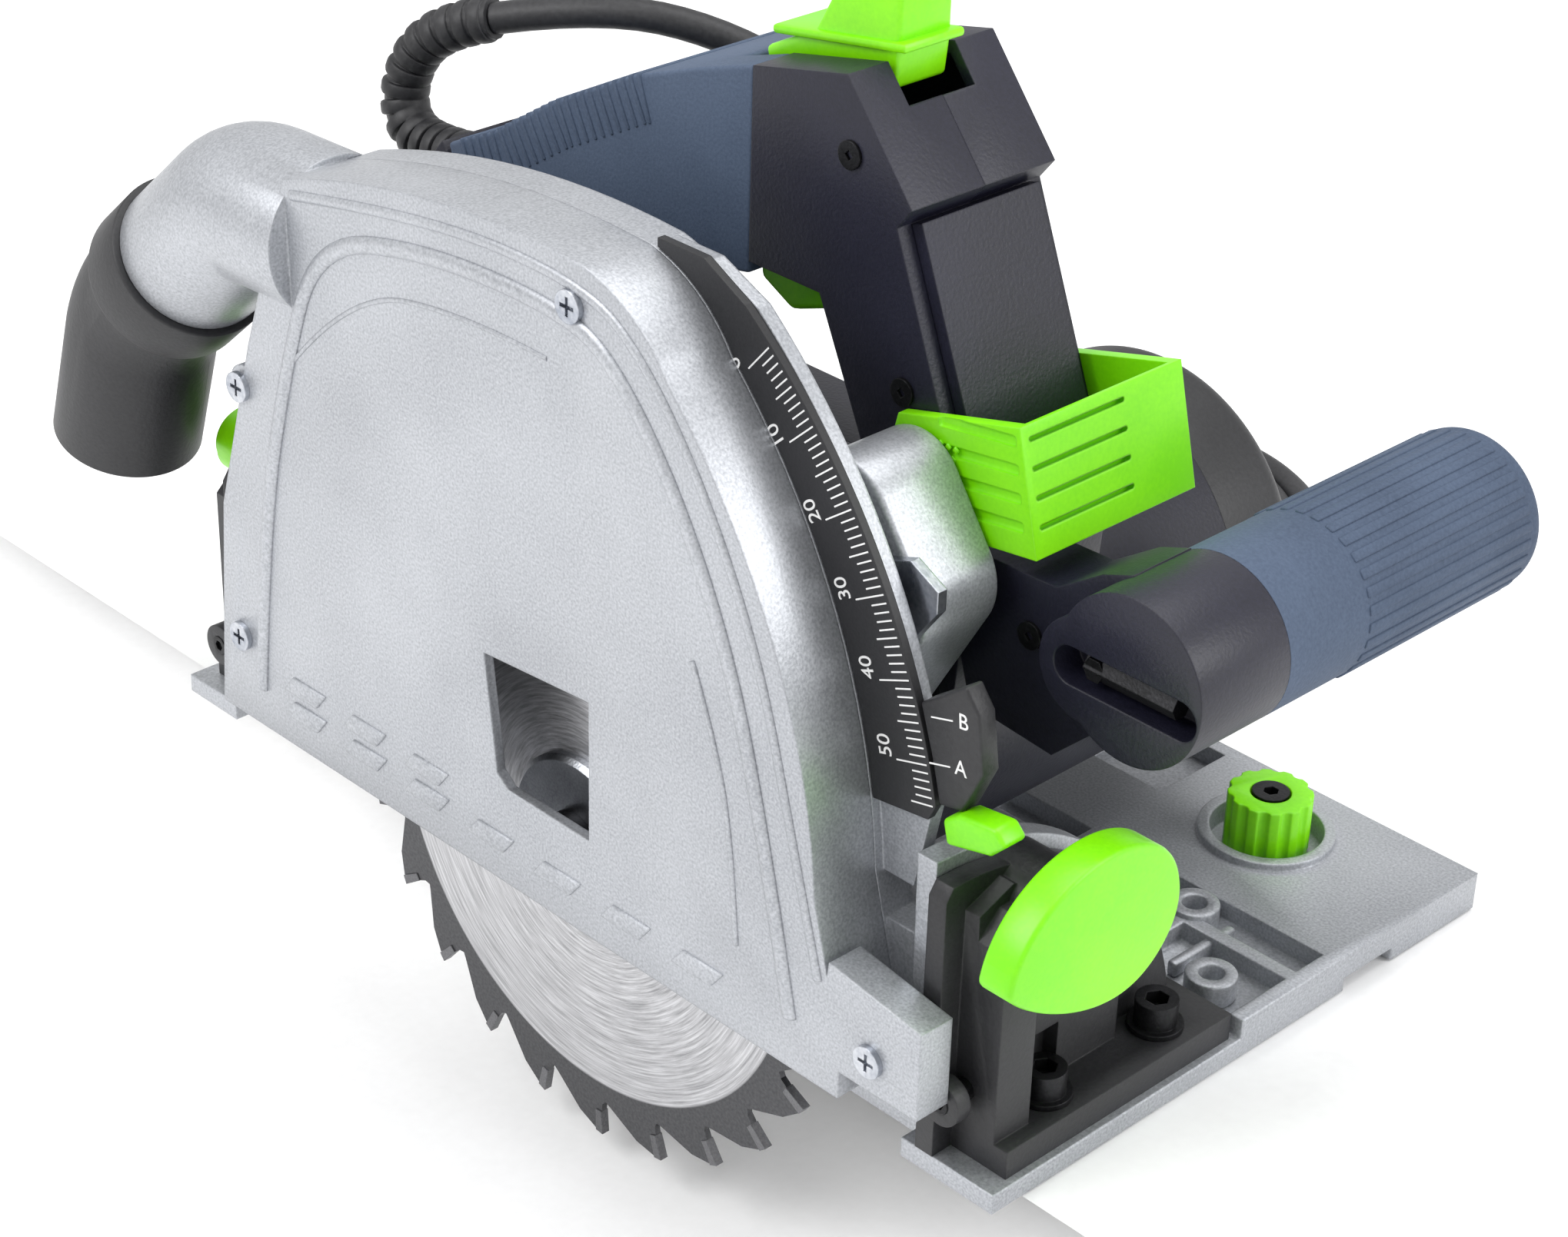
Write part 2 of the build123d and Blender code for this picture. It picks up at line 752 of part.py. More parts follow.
with BuildPart() as trigger:
    with BuildSketch(side(handle_split + 7)):
        with BuildLine():
            Polyline((-6, 172), (18, 172), (20, 152), (6, 147), (-4, 152), close=True)
        make_face()
    extrude(amount=14)
trigger.part.label = "trigger"
export_step(trigger.part, "parts/trigger.step")

with BuildPart() as plunge_button:
    with BuildSketch(side(handle_split + 8)):
        with BuildLine():
            Polyline((-2, 204), (-3, 207), (12, 215), (18, 226), (37, 230), (37, 217), (36, 208), close=True)
        make_face()
    extrude(amount=16)
plunge_button.part.label = "plunge_button"
export_step(plunge_button.part, "parts/plunge_button.step")

lever_hinge = (62, 140)
lever_wall = 3
lever_near = handle_near - body_gap - lever_wall
lever_far = handle_far + body_gap + lever_wall
with BuildPart() as change_lever:
    with BuildSketch(side(lever_far)):
        with BuildLine():
            Polyline((55, 135), (58, 147), (92, 156), (99, 128), (78, 125), close=True)
        make_face()
    extrude(amount=lever_far - lever_near)
    with BuildSketch(side(lever_far - lever_wall)):
        with BuildLine():
            Polyline((40, 120), (40, 170), (90, 170), (92.5, 120), close=True)
        make_face()
    extrude(amount=lever_far - lever_near - 2 * lever_wall, mode=Mode.SUBTRACT)
    with BuildSketch(side(lever_far + 1)):
        with Locations(lever_hinge):
            Circle(3 + running_clearance)
    extrude(amount=lever_far - lever_near + 2, mode=Mode.SUBTRACT)
change_lever.part.label = "change_lever"
export_step(change_lever.part, "parts/change_lever.step")

with BuildPart() as lever_pins:
    for near, far in ((lever_near, handle_near), (handle_far, lever_far)):
        with BuildSketch(side(far)):
            with Locations(lever_hinge):
                Circle(3)
        extrude(amount=far - near)
lever_pins.part.label = "lever_pins"
export_step(lever_pins.part, "parts/lever_pins.step")

key_reach = 100
with BuildPart() as hex_key:
    with BuildSketch(side(key_reach)):
        with Locations((key_x, key_z)):
            RegularPolygon(key_flat / 2, 6, major_radius=False)
    extrude(amount=key_reach - 32)
    with BuildSketch(Plane((key_x - 2.5, 34.5, key_z), x_dir=(0, 1, 0), z_dir=(1, 0, 0))):
        RegularPolygon(key_flat / 2, 6, major_radius=False)
    extrude(amount=24)
hex_key.part.label = "hex_key"
export_step(hex_key.part, "parts/hex_key.step")

# Mains lead: strain relief, free stretch, stored coil and plug
boot_points = [
    (-100, 62, 147),
    (-128, 62, 142),
    (-143, 63, 147),
    (-142, 65, 162),
    (-132, 69, 173),
    cord_points[0],
]
with BuildPart() as cable_boot:
    with BuildLine() as boot_path:
        FilletPolyline(*boot_points, radius=7)
    with BuildSketch(Plane(boot_points[0], z_dir=Vector(*boot_points[1]) - Vector(*boot_points[0]))):
        Circle(7)
    sweep(path=boot_path.wires()[0])
cable_boot.part.label = "cable_boot"
export_step(cable_boot.part, "parts/cable_boot.step")

runs = [Vector(*end) - Vector(*start) for start, end in zip(cord_points, cord_points[1:])]
cord_radii = []
for before, after in zip(runs, runs[1:]):
    half_turn = math.radians(before.get_angle(after)) / 2
    cord_radii.append(0.45 * min(before.length, after.length) / math.tan(half_turn))
print("cord radii", [round(radius, 1) for radius in cord_radii])
with BuildPart() as power_cord:
    with BuildLine() as cord_path:
        FilletPolyline(*cord_points, radius=cord_radii)
    with BuildSketch(Plane(cord_points[0], z_dir=runs[0])):
        Circle(cord_radius)
    sweep(path=cord_path.wires()[0])
cord_length = cord_path.wires()[0].length
print("cord length", round(cord_length, 1), "volume share", round(
    power_cord.part.volume / (math.pi * cord_radius**2 * cord_length), 4))
power_cord.part.label = "power_cord"
export_step(power_cord.part, "parts/power_cord.step")

with BuildPart() as cord_coil:
    with BuildSketch():
        with Locations(coil_centre):
            Circle(coil_outer)
            Circle(coil_inner, mode=Mode.SUBTRACT)
    extrude(amount=coil_height)
    fillet(cord_coil.edges(), 3)
cord_coil.part.label = "cord_coil"
export_step(cord_coil.part, "parts/cord_coil.step")

plug_radius = 15
plug_boot = 40
plug_plane = Plane(
    (coil_centre[0] - 88, coil_centre[1] + 53, plug_radius), x_dir=(0, 1, 0), z_dir=(-1, 0, 0)
)
with BuildPart() as plug:
    with BuildSketch(plug_plane):
        Circle(plug_radius)
    extrude(amount=22)
    with BuildSketch(plug_plane):
        Circle(cord_radius + 1)
    extrude(amount=-plug_boot)
    with BuildSketch(plug_plane.offset(22)):
        with Locations((0, 9.5), (0, -9.5)):
            Circle(2.4)
    extrude(amount=18)
plug.part.label = "plug"
export_step(plug.part, "parts/plug.step")

# Blade cover with its dust neck
with BuildPart() as guard_cover:
    with BuildSketch(side(cover_back_y)):
        add(cover_face())
    extrude(amount=cover_back_y - cover_face_y)
    with BuildSketch(side(nose_y)):
        with BuildLine():
            Polyline((92, 24), (95, 50), (122, 46), (122, 24), close=True)
        make_face()
    extrude(amount=nose_y - cover_face_y)
    neck_tilt = math.degrees(math.atan2(elbow_corner[1] - neck_end[1], elbow_corner[0] - neck_end[0]))
    neck_way = Vector(*ray(1, neck_tilt)).X, 0, Vector(*ray(1, neck_tilt)).Y
    neck_plane = Plane((neck_end[0], duct_y, neck_end[1]), x_dir=(0, 1, 0), z_dir=neck_way)
    neck_bend = (neck_end[0] - 34 * neck_way[0], duct_y, neck_end[1] - 34 * neck_way[2])
    neck_root = (-84, duct_y, neck_bend[2] + 1)
    with BuildLine() as neck_path:
        FilletPolyline(neck_root, neck_bend, (neck_end[0], duct_y, neck_end[1]), radius=22)
    with BuildSketch(Plane(neck_root, x_dir=(0, 1, 0), z_dir=Vector(*neck_bend) - Vector(*neck_root))):
        Circle(neck_radius)
    sweep(path=neck_path.wires()[0])
    with BuildSketch(side(cover_back_y)):
        add(cover_face(-cover_wall))
        with BuildLine():
            Polyline(
                (cover_rear + cover_wall, cover_bottom + 9),
                (cover_front - cover_wall, cover_bottom + 9),
                (cover_front - cover_wall, cover_bottom - 3),
                (cover_rear + cover_wall, cover_bottom - 3),
                close=True,
            )
        make_face()
    extrude(amount=cover_back_y - cover_face_y - cover_wall, mode=Mode.SUBTRACT)
    bore_root = (neck_root[0] - 4, duct_y, neck_root[2])
    with BuildLine() as bore_path:
        FilletPolyline(bore_root, neck_bend, (neck_end[0], duct_y, neck_end[1]), radius=22)
    with BuildSketch(Plane(bore_root, x_dir=(0, 1, 0), z_dir=Vector(*neck_bend) - Vector(*bore_root))):
        Circle(neck_radius - duct_wall)
    sweep(path=bore_path.wires()[0], mode=Mode.SUBTRACT)
    with BuildSketch(side(30)):
        add(cover_face())
    extrude(amount=30 - cover_back_y, mode=Mode.SUBTRACT)
    with BuildSketch(side(0)):
        with BuildLine():
            Polyline((-17, 76), (19, 79), (19, 43), (-9, 43), (-13, 46), close=True)
        make_face()
    extrude(amount=30, mode=Mode.SUBTRACT)
    for place in cover_screw_spots:
        with BuildSketch(side(cover_back_y)):
            with Locations(place):
                Circle(5)
        extrude(amount=cover_back_y - cover_face_y - 1)
        with BuildSketch(side(cover_back_y)):
            with Locations(place):
                Circle(screw_radius)
        extrude(amount=30, mode=Mode.SUBTRACT)
    with BuildSketch(side(cover_back_y)):
        with Locations(nose_screw_spot):
            Circle(screw_radius)
    extrude(amount=30, mode=Mode.SUBTRACT)
guard_cover.part.label = "guard_cover"
export_step(guard_cover.part, "parts/guard_cover.step")
print("guard_cover solids", len(guard_cover.solids()))

# Guard back: the casting behind the blade, with the arc slot for the spindle neck
slot_angle_low = rest_angle - 1
slot_angle_high = top_angle + 1
slot_reach = neck_outer + 1.4
seat_y = scale_y + body_gap / 2
scale_back_y = 8
with BuildPart() as guard_back:
    with BuildSketch(side(guard_back_y)):
        add(cover_face())
    extrude(amount=guard_back_y - cover_back_y - 0.05)
    with BuildSketch(side(guard_back_y - guard_wall)):
        add(cover_face(-cover_wall))
        with BuildLine():
            Polyline(
                (cover_rear + cover_wall, cover_bottom + 9),
                (cover_front - cover_wall, cover_bottom + 9),
                (cover_front - cover_wall, cover_bottom - 3),
                (cover_rear + cover_wall, cover_bottom - 3),
                close=True,
            )
        make_face()
    extrude(amount=20, mode=Mode.SUBTRACT)
    with BuildSketch(side(scale_back_y)):
        with BuildSketch(mode=Mode.PRIVATE) as scale_back:
            with BuildLine():
                Polyline((20, 150), (20, cover_top + 1), (34, cover_top + 1), (48, cover_top - 5))
                ThreePointArc(
                    (48, cover_top - 5),
                    ray(scale_radius - 1, 30, scale_centre),
                    (104, 87),
                )
                Polyline((104, 87), (99, 62), (60, 62), (20, 150))
            make_face()
            add(cover_face(-1), mode=Mode.SUBTRACT)
        add(scale_back.sketch)
    extrude(amount=scale_back_y - seat_y)
    with BuildSketch(side(guard_back_y + 1)):
        with BuildLine():
            slot_outer = CenterArc(pivot_place, arm_length + slot_reach, slot_angle_low, slot_angle_high - slot_angle_low)
            slot_inner = CenterArc(pivot_place, arm_length - slot_reach, slot_angle_low, slot_angle_high - slot_angle_low)
            Line(slot_outer @ 0, slot_inner @ 0)
            Line(slot_outer @ 1, slot_inner @ 1)
        make_face()
        with Locations(ray(arm_length, slot_angle_low, pivot_place), ray(arm_length, slot_angle_high, pivot_place)):
            Circle(slot_reach)
        with BuildLine():
            Polyline((-20, 0), (-20, arbor_z), (22, arbor_z), (22, 0), close=True)
        make_face()
    extrude(amount=guard_wall + 2, mode=Mode.SUBTRACT)
    for start, end in ((cover_front - 12, segment_x), (rear_segment_x + segment_thickness, cover_rear + 12)):
        with BuildSketch(Plane.YZ.offset(start)):
            with BuildLine():
                Polyline((3, 22), (guard_back_y, 22), (guard_back_y, 52), (3, 52), close=True)
            make_face()
        extrude(amount=end - start)
    for place in cover_screw_spots:
        with BuildSketch(side(guard_back_y)):
            with Locations(place):
                Circle(4.5)
        extrude(amount=guard_back_y - cover_back_y - 0.05)
        with BuildSketch(side(guard_back_y)):
            with Locations(place):
                Circle(screw_radius)
        extrude(amount=20, mode=Mode.SUBTRACT)
    with BuildSketch(side(guard_back_y)):
        with Locations(pivot_place):
            Circle(pivot_pin_radius)
    extrude(amount=20, mode=Mode.SUBTRACT)
guard_back.part.label = "guard_back"
export_step(guard_back.part, "parts/guard_back.step")
print("guard_back solids", len(guard_back.solids()))

with BuildPart() as cover_screws:
    for place in (*cover_screw_spots, nose_screw_spot):
        far = guard_back_y - 1 if place[0] < 100 else cover_face_y + 12
        with BuildSketch(side(far)):
            with Locations(place):
                Circle(screw_radius)
        extrude(amount=far - cover_face_y)
        with BuildSketch(side(cover_face_y)):
            with Locations(place):
                Circle(3.8)
                Rectangle(4.4, 0.9, mode=Mode.SUBTRACT)
                Rectangle(0.9, 4.4, mode=Mode.SUBTRACT)
        extrude(amount=1.4)
cover_screws.part.label = "cover_screws"
export_step(cover_screws.part, "parts/cover_screws.step")

with BuildPart() as depth_scale:
    with BuildSketch(side(scale_y)):
        with BuildLine():
            scale_start = ray(scale_radius, 53, scale_centre)
            scale_end = ray(scale_radius, 13, scale_centre)
            Polyline((20, 150), (20, cover_top + 2), (34, cover_top + 2), scale_start)
            ThreePointArc(scale_start, ray(scale_radius, 33, scale_centre), scale_end)
            Polyline(scale_end, (104, 82), (60, 76), (20, 150))
        make_face()
        add(cover_face(body_gap), mode=Mode.SUBTRACT)
    extrude(amount=scale_thickness)
depth_scale.part.label = "depth_scale"
export_step(depth_scale.part, "parts/depth_scale.step")
print("depth_scale solids", len(depth_scale.solids()))

with BuildPart() as pivot_pin:
    with BuildSketch(side(housing_far + 4)):
        with Locations(pivot_place):
            Circle(pivot_pin_radius)
    extrude(amount=housing_far + 4 - guard_back_y + 2.4)
    with BuildSketch(side(housing_far + 4)):
        with Locations(pivot_place):
            Circle(8.5)
    extrude(amount=-2.5)
pivot_pin.part.label = "pivot_pin"
export_step(pivot_pin.part, "parts/pivot_pin.step")

spring_wire = 1.4
spring_turn_radius = 10.5
with BuildPart() as plunge_spring:
    with BuildLine() as spring_path:
        Helix(
            pitch=3.2,
            height=9.6,
            radius=spring_turn_radius,
            center=(pivot_x, housing_far + 1.5, pivot_z),
            direction=(0, 1, 0),
        )
    with BuildSketch(Plane(spring_path.wires()[0] @ 0, z_dir=spring_path.wires()[0] % 0)):
        Circle(spring_wire / 2)
    sweep(path=spring_path.wires()[0], is_frenet=True)
plunge_spring.part.label = "plunge_spring"
export_step(plunge_spring.part, "parts/plunge_spring.step")


# Bevel guides: a tilting segment behind a fixed bracket at each end
def segment_sector(radius, low, high, inner=0.0):
    """Sector of a disc about the bevel axis."""
    with BuildSketch() as face:
        with BuildLine():
            outer_arc = CenterArc((0, 0), radius, low, high - low)
            inner_arc = CenterArc((0, 0), inner, low, high - low)
            Line(outer_arc @ 0, inner_arc @ 0)
            Line(outer_arc @ 1, inner_arc @ 1)
        make_face()
    return face.sketch


def bevel_slot():
    """Arc slot for the clamping stud."""
    low = stud_angle - bevel_travel - 1
    high = stud_angle + 1
    with BuildSketch() as face:
        add(segment_sector(stud_ring + slot_half, low, high, stud_ring - slot_half))
        with Locations(ray(stud_ring, low), ray(stud_ring, high)):
            Circle(slot_half)
    return face.sketch


def bevel_segment(start):
    """Tilting segment plate."""
    with BuildPart() as plate:
        with BuildSketch(Plane.YZ.offset(start)):
            add(segment_sector(segment_radius, 13, 91, 24))
            add(bevel_slot(), mode=Mode.SUBTRACT)
            with Locations((7, 30), (7, 44)):
                Circle(2, mode=Mode.SUBTRACT)
        extrude(amount=segment_thickness)
    return plate.part


with BuildPart() as front_segment:
    add(bevel_segment(segment_x))
front_segment.part.label = "front_segment"
export_step(front_segment.part, "parts/front_segment.step")

with BuildPart() as rear_segment:
    add(bevel_segment(rear_segment_x))
rear_segment.part.label = "rear_segment"
export_step(rear_segment.part, "parts/rear_segment.step")

with BuildPart() as segment_screws:
    for start, turn in ((segment_x, 1), (rear_segment_x + segment_thickness, -1)):
        for height in (30, 44):
            shank = Plane((start, 7, height), x_dir=(0, 1, 0), z_dir=(turn, 0, 0))
            with BuildSketch(shank):
                Circle(2)
            extrude(amount=segment_thickness - 0.2)
segment_screws.part.label = "segment_screws"
export_step(segment_screws.part, "parts/segment_screws.step")

bracket_gap = 0.6
bracket_start = segment_x + segment_thickness + bracket_gap
foot_top = 12
bracket_body = 9
bracket_boss = 10
bolt_pocket = 14
stud_y, stud_z = ray(stud_ring, stud_angle)


def bevel_bracket(start, way):
    """Fixed bracket: a sector plate with a deeper body, a bolted foot and a set screw boss."""
    face_end = bracket_front_x - bracket_start
    plane = Plane((start, 0, 0), x_dir=(0, 1, 0), z_dir=(1, 0, 0))
    with BuildPart() as bracket:
        with BuildSketch(plane):
            with BuildLine():
                Polyline((-4, base_floor), (-4, 70), (-2, 73), (4, 73))
                ThreePointArc((4, 73), ray(73, 45), (73, 4 + base_floor))
                Polyline((73, 4 + base_floor), (73, base_floor), (-4, base_floor))
            make_face()
        extrude(amount=way * 5)
        with BuildSketch(plane):
            with BuildLine():
                Polyline((2, base_floor), (2, 66), (12, 70), (46, 55), (50, 40), (50, base_floor), close=True)
            make_face()
        extrude(amount=way * bracket_body)
        with BuildSketch(plane):
            with BuildLine():
                Polyline((2, base_floor), (2, 60), (8, 66), (13, 66), (13, base_floor), close=True)
            make_face()
            with Locations((stud_y, stud_z)):
                Circle(bracket_boss)
        extrude(amount=way * face_end)
        with BuildSketch(plane):
            with BuildLine():
                Polyline((2, base_floor), (2, foot_top), (76, foot_top), (76, base_floor), close=True)
            make_face()
        extrude(amount=way * (face_end + 4))
        for bolt_y in foot_bolt_y:
            with Locations((start + way * 12, bolt_y, foot_top + bolt_pocket / 2)):
                Box(14, 14, bolt_pocket, mode=Mode.SUBTRACT)
            with Locations((start + way * 12, bolt_y, base_floor + 4)):
                Cylinder(3.1, 10, mode=Mode.SUBTRACT)
        with Locations(Plane((start, stud_y, stud_z), z_dir=(1, 0, 0))):
            Cylinder(stud_radius + 0.1, 60, mode=Mode.SUBTRACT)
        with Locations(Plane((start + way * 8, -4, 22), z_dir=(0, 1, 0))):
            Cylinder(5.5, 4)
            Cylinder(2.5, 30, mode=Mode.SUBTRACT)
    return bracket.part


with BuildPart() as front_bracket:
    add(bevel_bracket(bracket_start, 1))
front_bracket.part.label = "front_bracket"
export_step(front_bracket.part, "parts/front_bracket.step")

rear_bracket_start = rear_segment_x - bracket_gap
with BuildPart() as rear_bracket:
    add(bevel_bracket(rear_bracket_start, -1))
rear_bracket.part.label = "rear_bracket"
export_step(rear_bracket.part, "parts/rear_bracket.step")

foot_spots = [
    (start + way * 12, bolt_y)
    for start, way in ((bracket_start, 1), (rear_bracket_start, -1))
    for bolt_y in foot_bolt_y
]
with BuildPart() as bracket_fasteners:
    with BuildSketch(Plane.XY.offset(foot_top + 1.4)):
        with Locations(*foot_spots):
            Circle(5)
    extrude(amount=6)
    with BuildSketch(Plane.XY.offset(foot_top + 1.4)):
        with Locations(*foot_spots):
            Circle(3)
    extrude(amount=-foot_top + 1)
    with BuildSketch(Plane.XY.offset(foot_top + 7.4)):
        with Locations(*foot_spots):
            RegularPolygon(key_flat / 2, 6, major_radius=False)
    extrude(amount=-3.5, mode=Mode.SUBTRACT)
    with BuildSketch(Plane.XY.offset(foot_top)):
        with Locations(*foot_spots):
            Circle(6.5)
            Circle(3, mode=Mode.SUBTRACT)
    extrude(amount=1.35)
bracket_fasteners.part.label = "bracket_fasteners"
export_step(bracket_fasteners.part, "parts/bracket_fasteners.step")

with BuildPart() as stop_set_screws:
    for start in (bracket_start + 8, rear_bracket_start - 8):
        with BuildSketch(Plane((start, -5.2, 22), x_dir=(1, 0, 0), z_dir=(0, -1, 0))):
            Circle(2.5)
            RegularPolygon(1.25, 6, major_radius=False, mode=Mode.SUBTRACT)
        extrude(amount=1)
        with BuildSketch(Plane((start, -5.2, 22), x_dir=(1, 0, 0), z_dir=(0, -1, 0))):
            Circle(2.5)
        extrude(amount=-14)
stop_set_screws.part.label = "stop_set_screws"
export_step(stop_set_screws.part, "parts/stop_set_screws.step")

knob_start = bracket_front_x + 0.8
with BuildPart() as bevel_studs:
    for start, way, knob in (
        (segment_x, 1, knob_start),
        (rear_segment_x + segment_thickness, -1, rear_bracket_start - (knob_start - bracket_start)),
    ):
        head = Plane((start - way * 0.4, stud_y, stud_z), x_dir=(0, 1, 0), z_dir=(way, 0, 0))
        with BuildSketch(head):
            Circle(5.5)
        extrude(amount=-3)
        with BuildSketch(head):
            Circle(stud_radius)
        extrude(amount=abs(knob - start) + 12)
bevel_studs.part.label = "bevel_studs"
export_step(bevel_studs.part, "parts/bevel_studs.step")


rear_knob_share = 0.42
knob_hub = 9
rear_knob_hub = 7.5
wing_outline = [(-34, 2), (-24, 18), (-4, 24), (14, 16), (18, 0), (8, -12), (-14, -11), (-34, 2)]


def wing_knob(start, way, hub, side_way=1, share=1.0):
    """Clamping knob with one broad wing."""
    plane = Plane((start, stud_y, stud_z), x_dir=(0, 1, 0), z_dir=(1, 0, 0))
    with BuildPart() as knob:
        with BuildSketch(plane):
            Circle(hub)
        extrude(amount=way * 14)
        with BuildSketch(plane.offset(way * 5)):
            with BuildLine():
                Spline(*[(side_way * share * y, share * z) for y, z in wing_outline])
            make_face()
        extrude(amount=way * 9)
        with BuildSketch(plane):
            Circle(stud_radius + running_clearance)
        extrude(amount=way * 12.5, mode=Mode.SUBTRACT)
    return knob.part


with BuildPart() as bevel_knob_front:
    add(wing_knob(knob_start, 1, knob_hub))
bevel_knob_front.part.label = "bevel_knob_front"
export_step(bevel_knob_front.part, "parts/bevel_knob_front.step")

with BuildPart() as bevel_knob_rear:
    rear_knob_start = rear_bracket_start - (knob_start - bracket_start)
    add(wing_knob(rear_knob_start, -1, rear_knob_hub, -1, rear_knob_share))
bevel_knob_rear.part.label = "bevel_knob_rear"
export_step(bevel_knob_rear.part, "parts/bevel_knob_rear.step")

# Swivelling dust elbow on the end of the neck
elbow_start = (neck_end[0] + body_gap * neck_way[0], neck_end[1] + body_gap * neck_way[2])


def elbow_sweep(radius, stretch=0.0):
    """Solid pipe bent along the outlet's route."""
    last = Vector(outlet_end[0] - elbow_corner[0], outlet_end[1] - elbow_corner[1]).normalized() * stretch
    with BuildPart() as pipe:
        with BuildLine() as path:
            FilletPolyline(
                (elbow_start[0], duct_y, elbow_start[1]),
                (elbow_corner[0], duct_y, elbow_corner[1]),
                (outlet_end[0] + last.X, duct_y, outlet_end[1] + last.Y),
                radius=40,
            )
        with BuildSketch(Plane((elbow_start[0], duct_y, elbow_start[1]), z_dir=neck_way)):
            Circle(radius)
        sweep(path=path.wires()[0])
    return pipe.part


with BuildPart() as dust_elbow:
    add(elbow_sweep(outlet_radius))
    with BuildSketch(neck_plane.offset(0.4)):
        Circle(sleeve_radius)
    extrude(amount=16)
    add(elbow_sweep(outlet_radius - duct_wall, 1.0), mode=Mode.SUBTRACT)
    with BuildSketch(neck_plane.offset(0.4)):
        Circle(outlet_radius - duct_wall)
    extrude(amount=-0.1, mode=Mode.SUBTRACT)
dust_elbow.part.label = "dust_elbow"
export_step(dust_elbow.part, "parts/dust_elbow.step")
print("dust_elbow solids", len(dust_elbow.solids()))

# Depth stop on the scale
with BuildPart() as depth_stop_block:
    with BuildSketch(side(scale_y + 3.2)):
        with BuildLine():
            Polyline(
                *[ray(scale_radius + 2 * body_gap, angle, scale_centre) for angle in (13.2, 17, 21.2)],
                (112, 117),
                (116, 112),
                (118, 99),
                (113, 88),
                close=True,
            )
        make_face()
    extrude(amount=5)
depth_stop_block.part.label = "depth_stop_block"
export_step(depth_stop_block.part, "parts/depth_stop_block.step")

with BuildPart() as depth_clamp:
    with BuildSketch(side(scale_y + 3)):
        with BuildLine():
            Polyline((109.5, 85.6), (114, 88.6), (124, 90), (127, 87), (123, 83), (111, 80), close=True)
        make_face()
    extrude(amount=7)
depth_clamp.part.label = "depth_clamp"
export_step(depth_clamp.part, "parts/depth_clamp.step")

# Base plate
with BuildPart() as base_plate:
    with BuildSketch():
        with BuildLine():
            Polyline(
                (base_rear, -4),
                (base_rear + 20, -4),
                (base_rear + 20, base_near),
                (segment_x + 2, base_near),
                (segment_x + 2, -4),
                (base_front, -4),
                (base_front, base_far),
                (base_rear, base_far),
                close=True,
            )
        make_face()
    extrude(amount=base_floor)
    with BuildSketch(Plane.XY.offset(base_floor)):
        for x in (base_front - 2, base_rear + 2):
            with Locations((x, (78 + base_far) / 2)):
                Rectangle(4, base_far - 78)
        for y in (base_far - 2, 100):
            with Locations(((base_front + base_rear) / 2, y)):
                Rectangle(base_front - base_rear, 4)
        for x in (-125, -70, -20, 30, 60):
            with Locations((x, (100 + base_far) / 2)):
                Rectangle(3, base_far - 100)
        for x in (-115, -80, 80, 98):
            with Locations((x, 52)):
                Rectangle(3, 96)
        with Locations(((60 + base_front) / 2, (groove_near + base_far) / 2 + 4)):
            Rectangle(base_front - 60, base_far - groove_near - 8)
        with Locations(((-75 + base_rear) / 2, (groove_near + base_far) / 2 + 4)):
            Rectangle(-base_rear - 75, base_far - groove_near - 8)
        with Locations(((base_front + base_rear) / 2, (groove_near + groove_far) / 2)):
            Rectangle(base_front - base_rear, groove_far - groove_near + 8)
    extrude(amount=base_deck - base_floor)
    with BuildSketch(Plane.XY.offset(base_deck)):
        for x in rail_knob_x:
            with Locations((x, rail_knob_y)):
                Circle(rail_pocket_radius + 3)
                Circle(rail_pocket_radius, mode=Mode.SUBTRACT)
    extrude(amount=2)
    with BuildSketch(Plane.XY.offset(base_floor + 1)):
        for x in rail_knob_x:
            with Locations((x, rail_knob_y)):
                Circle(rail_pocket_radius)
    extrude(amount=base_deck, mode=Mode.SUBTRACT)
    with BuildSketch():
        with Locations(((base_front + base_rear) / 2, (groove_near + groove_far) / 2)):
            Rectangle(base_front - base_rear + 2, groove_far - groove_near)
    extrude(amount=groove_depth, mode=Mode.SUBTRACT)
    with BuildSketch():
        with Locations((0, (base_near + plate_far + 4) / 2)):
            Rectangle(2 * housing_well, plate_far + 4 - base_near + 2)
    extrude(amount=base_deck, mode=Mode.SUBTRACT)
    with BuildSketch(Plane.XY.offset(base_floor)):
        for x in (segment_x - 8, rear_segment_x + segment_thickness + 8):
            with Locations((x, 36)):
                Rectangle(34, 84)
        for x in (120, -140):
            with Locations((x, 36)):
                Rectangle(44, 84)
    extrude(amount=base_deck, mode=Mode.SUBTRACT)
    with BuildSketch(Plane.XY.offset(base_floor)):
        with Locations(*foot_spots):
            Circle(3)
    extrude(amount=-base_floor + 1, mode=Mode.SUBTRACT)
    with BuildSketch(Plane.XY.offset(base_floor + 1)):
        for x in rail_knob_x:
            with Locations((x, rail_knob_y)):
                Circle(2.5)
    extrude(amount=-4.5, mode=Mode.SUBTRACT)
base_plate.part.label = "base_plate"
export_step(base_plate.part, "parts/base_plate.step")
print("base_plate solids", len(base_plate.solids()))

knob_bottom = base_floor + 1.4
knob_top = 22


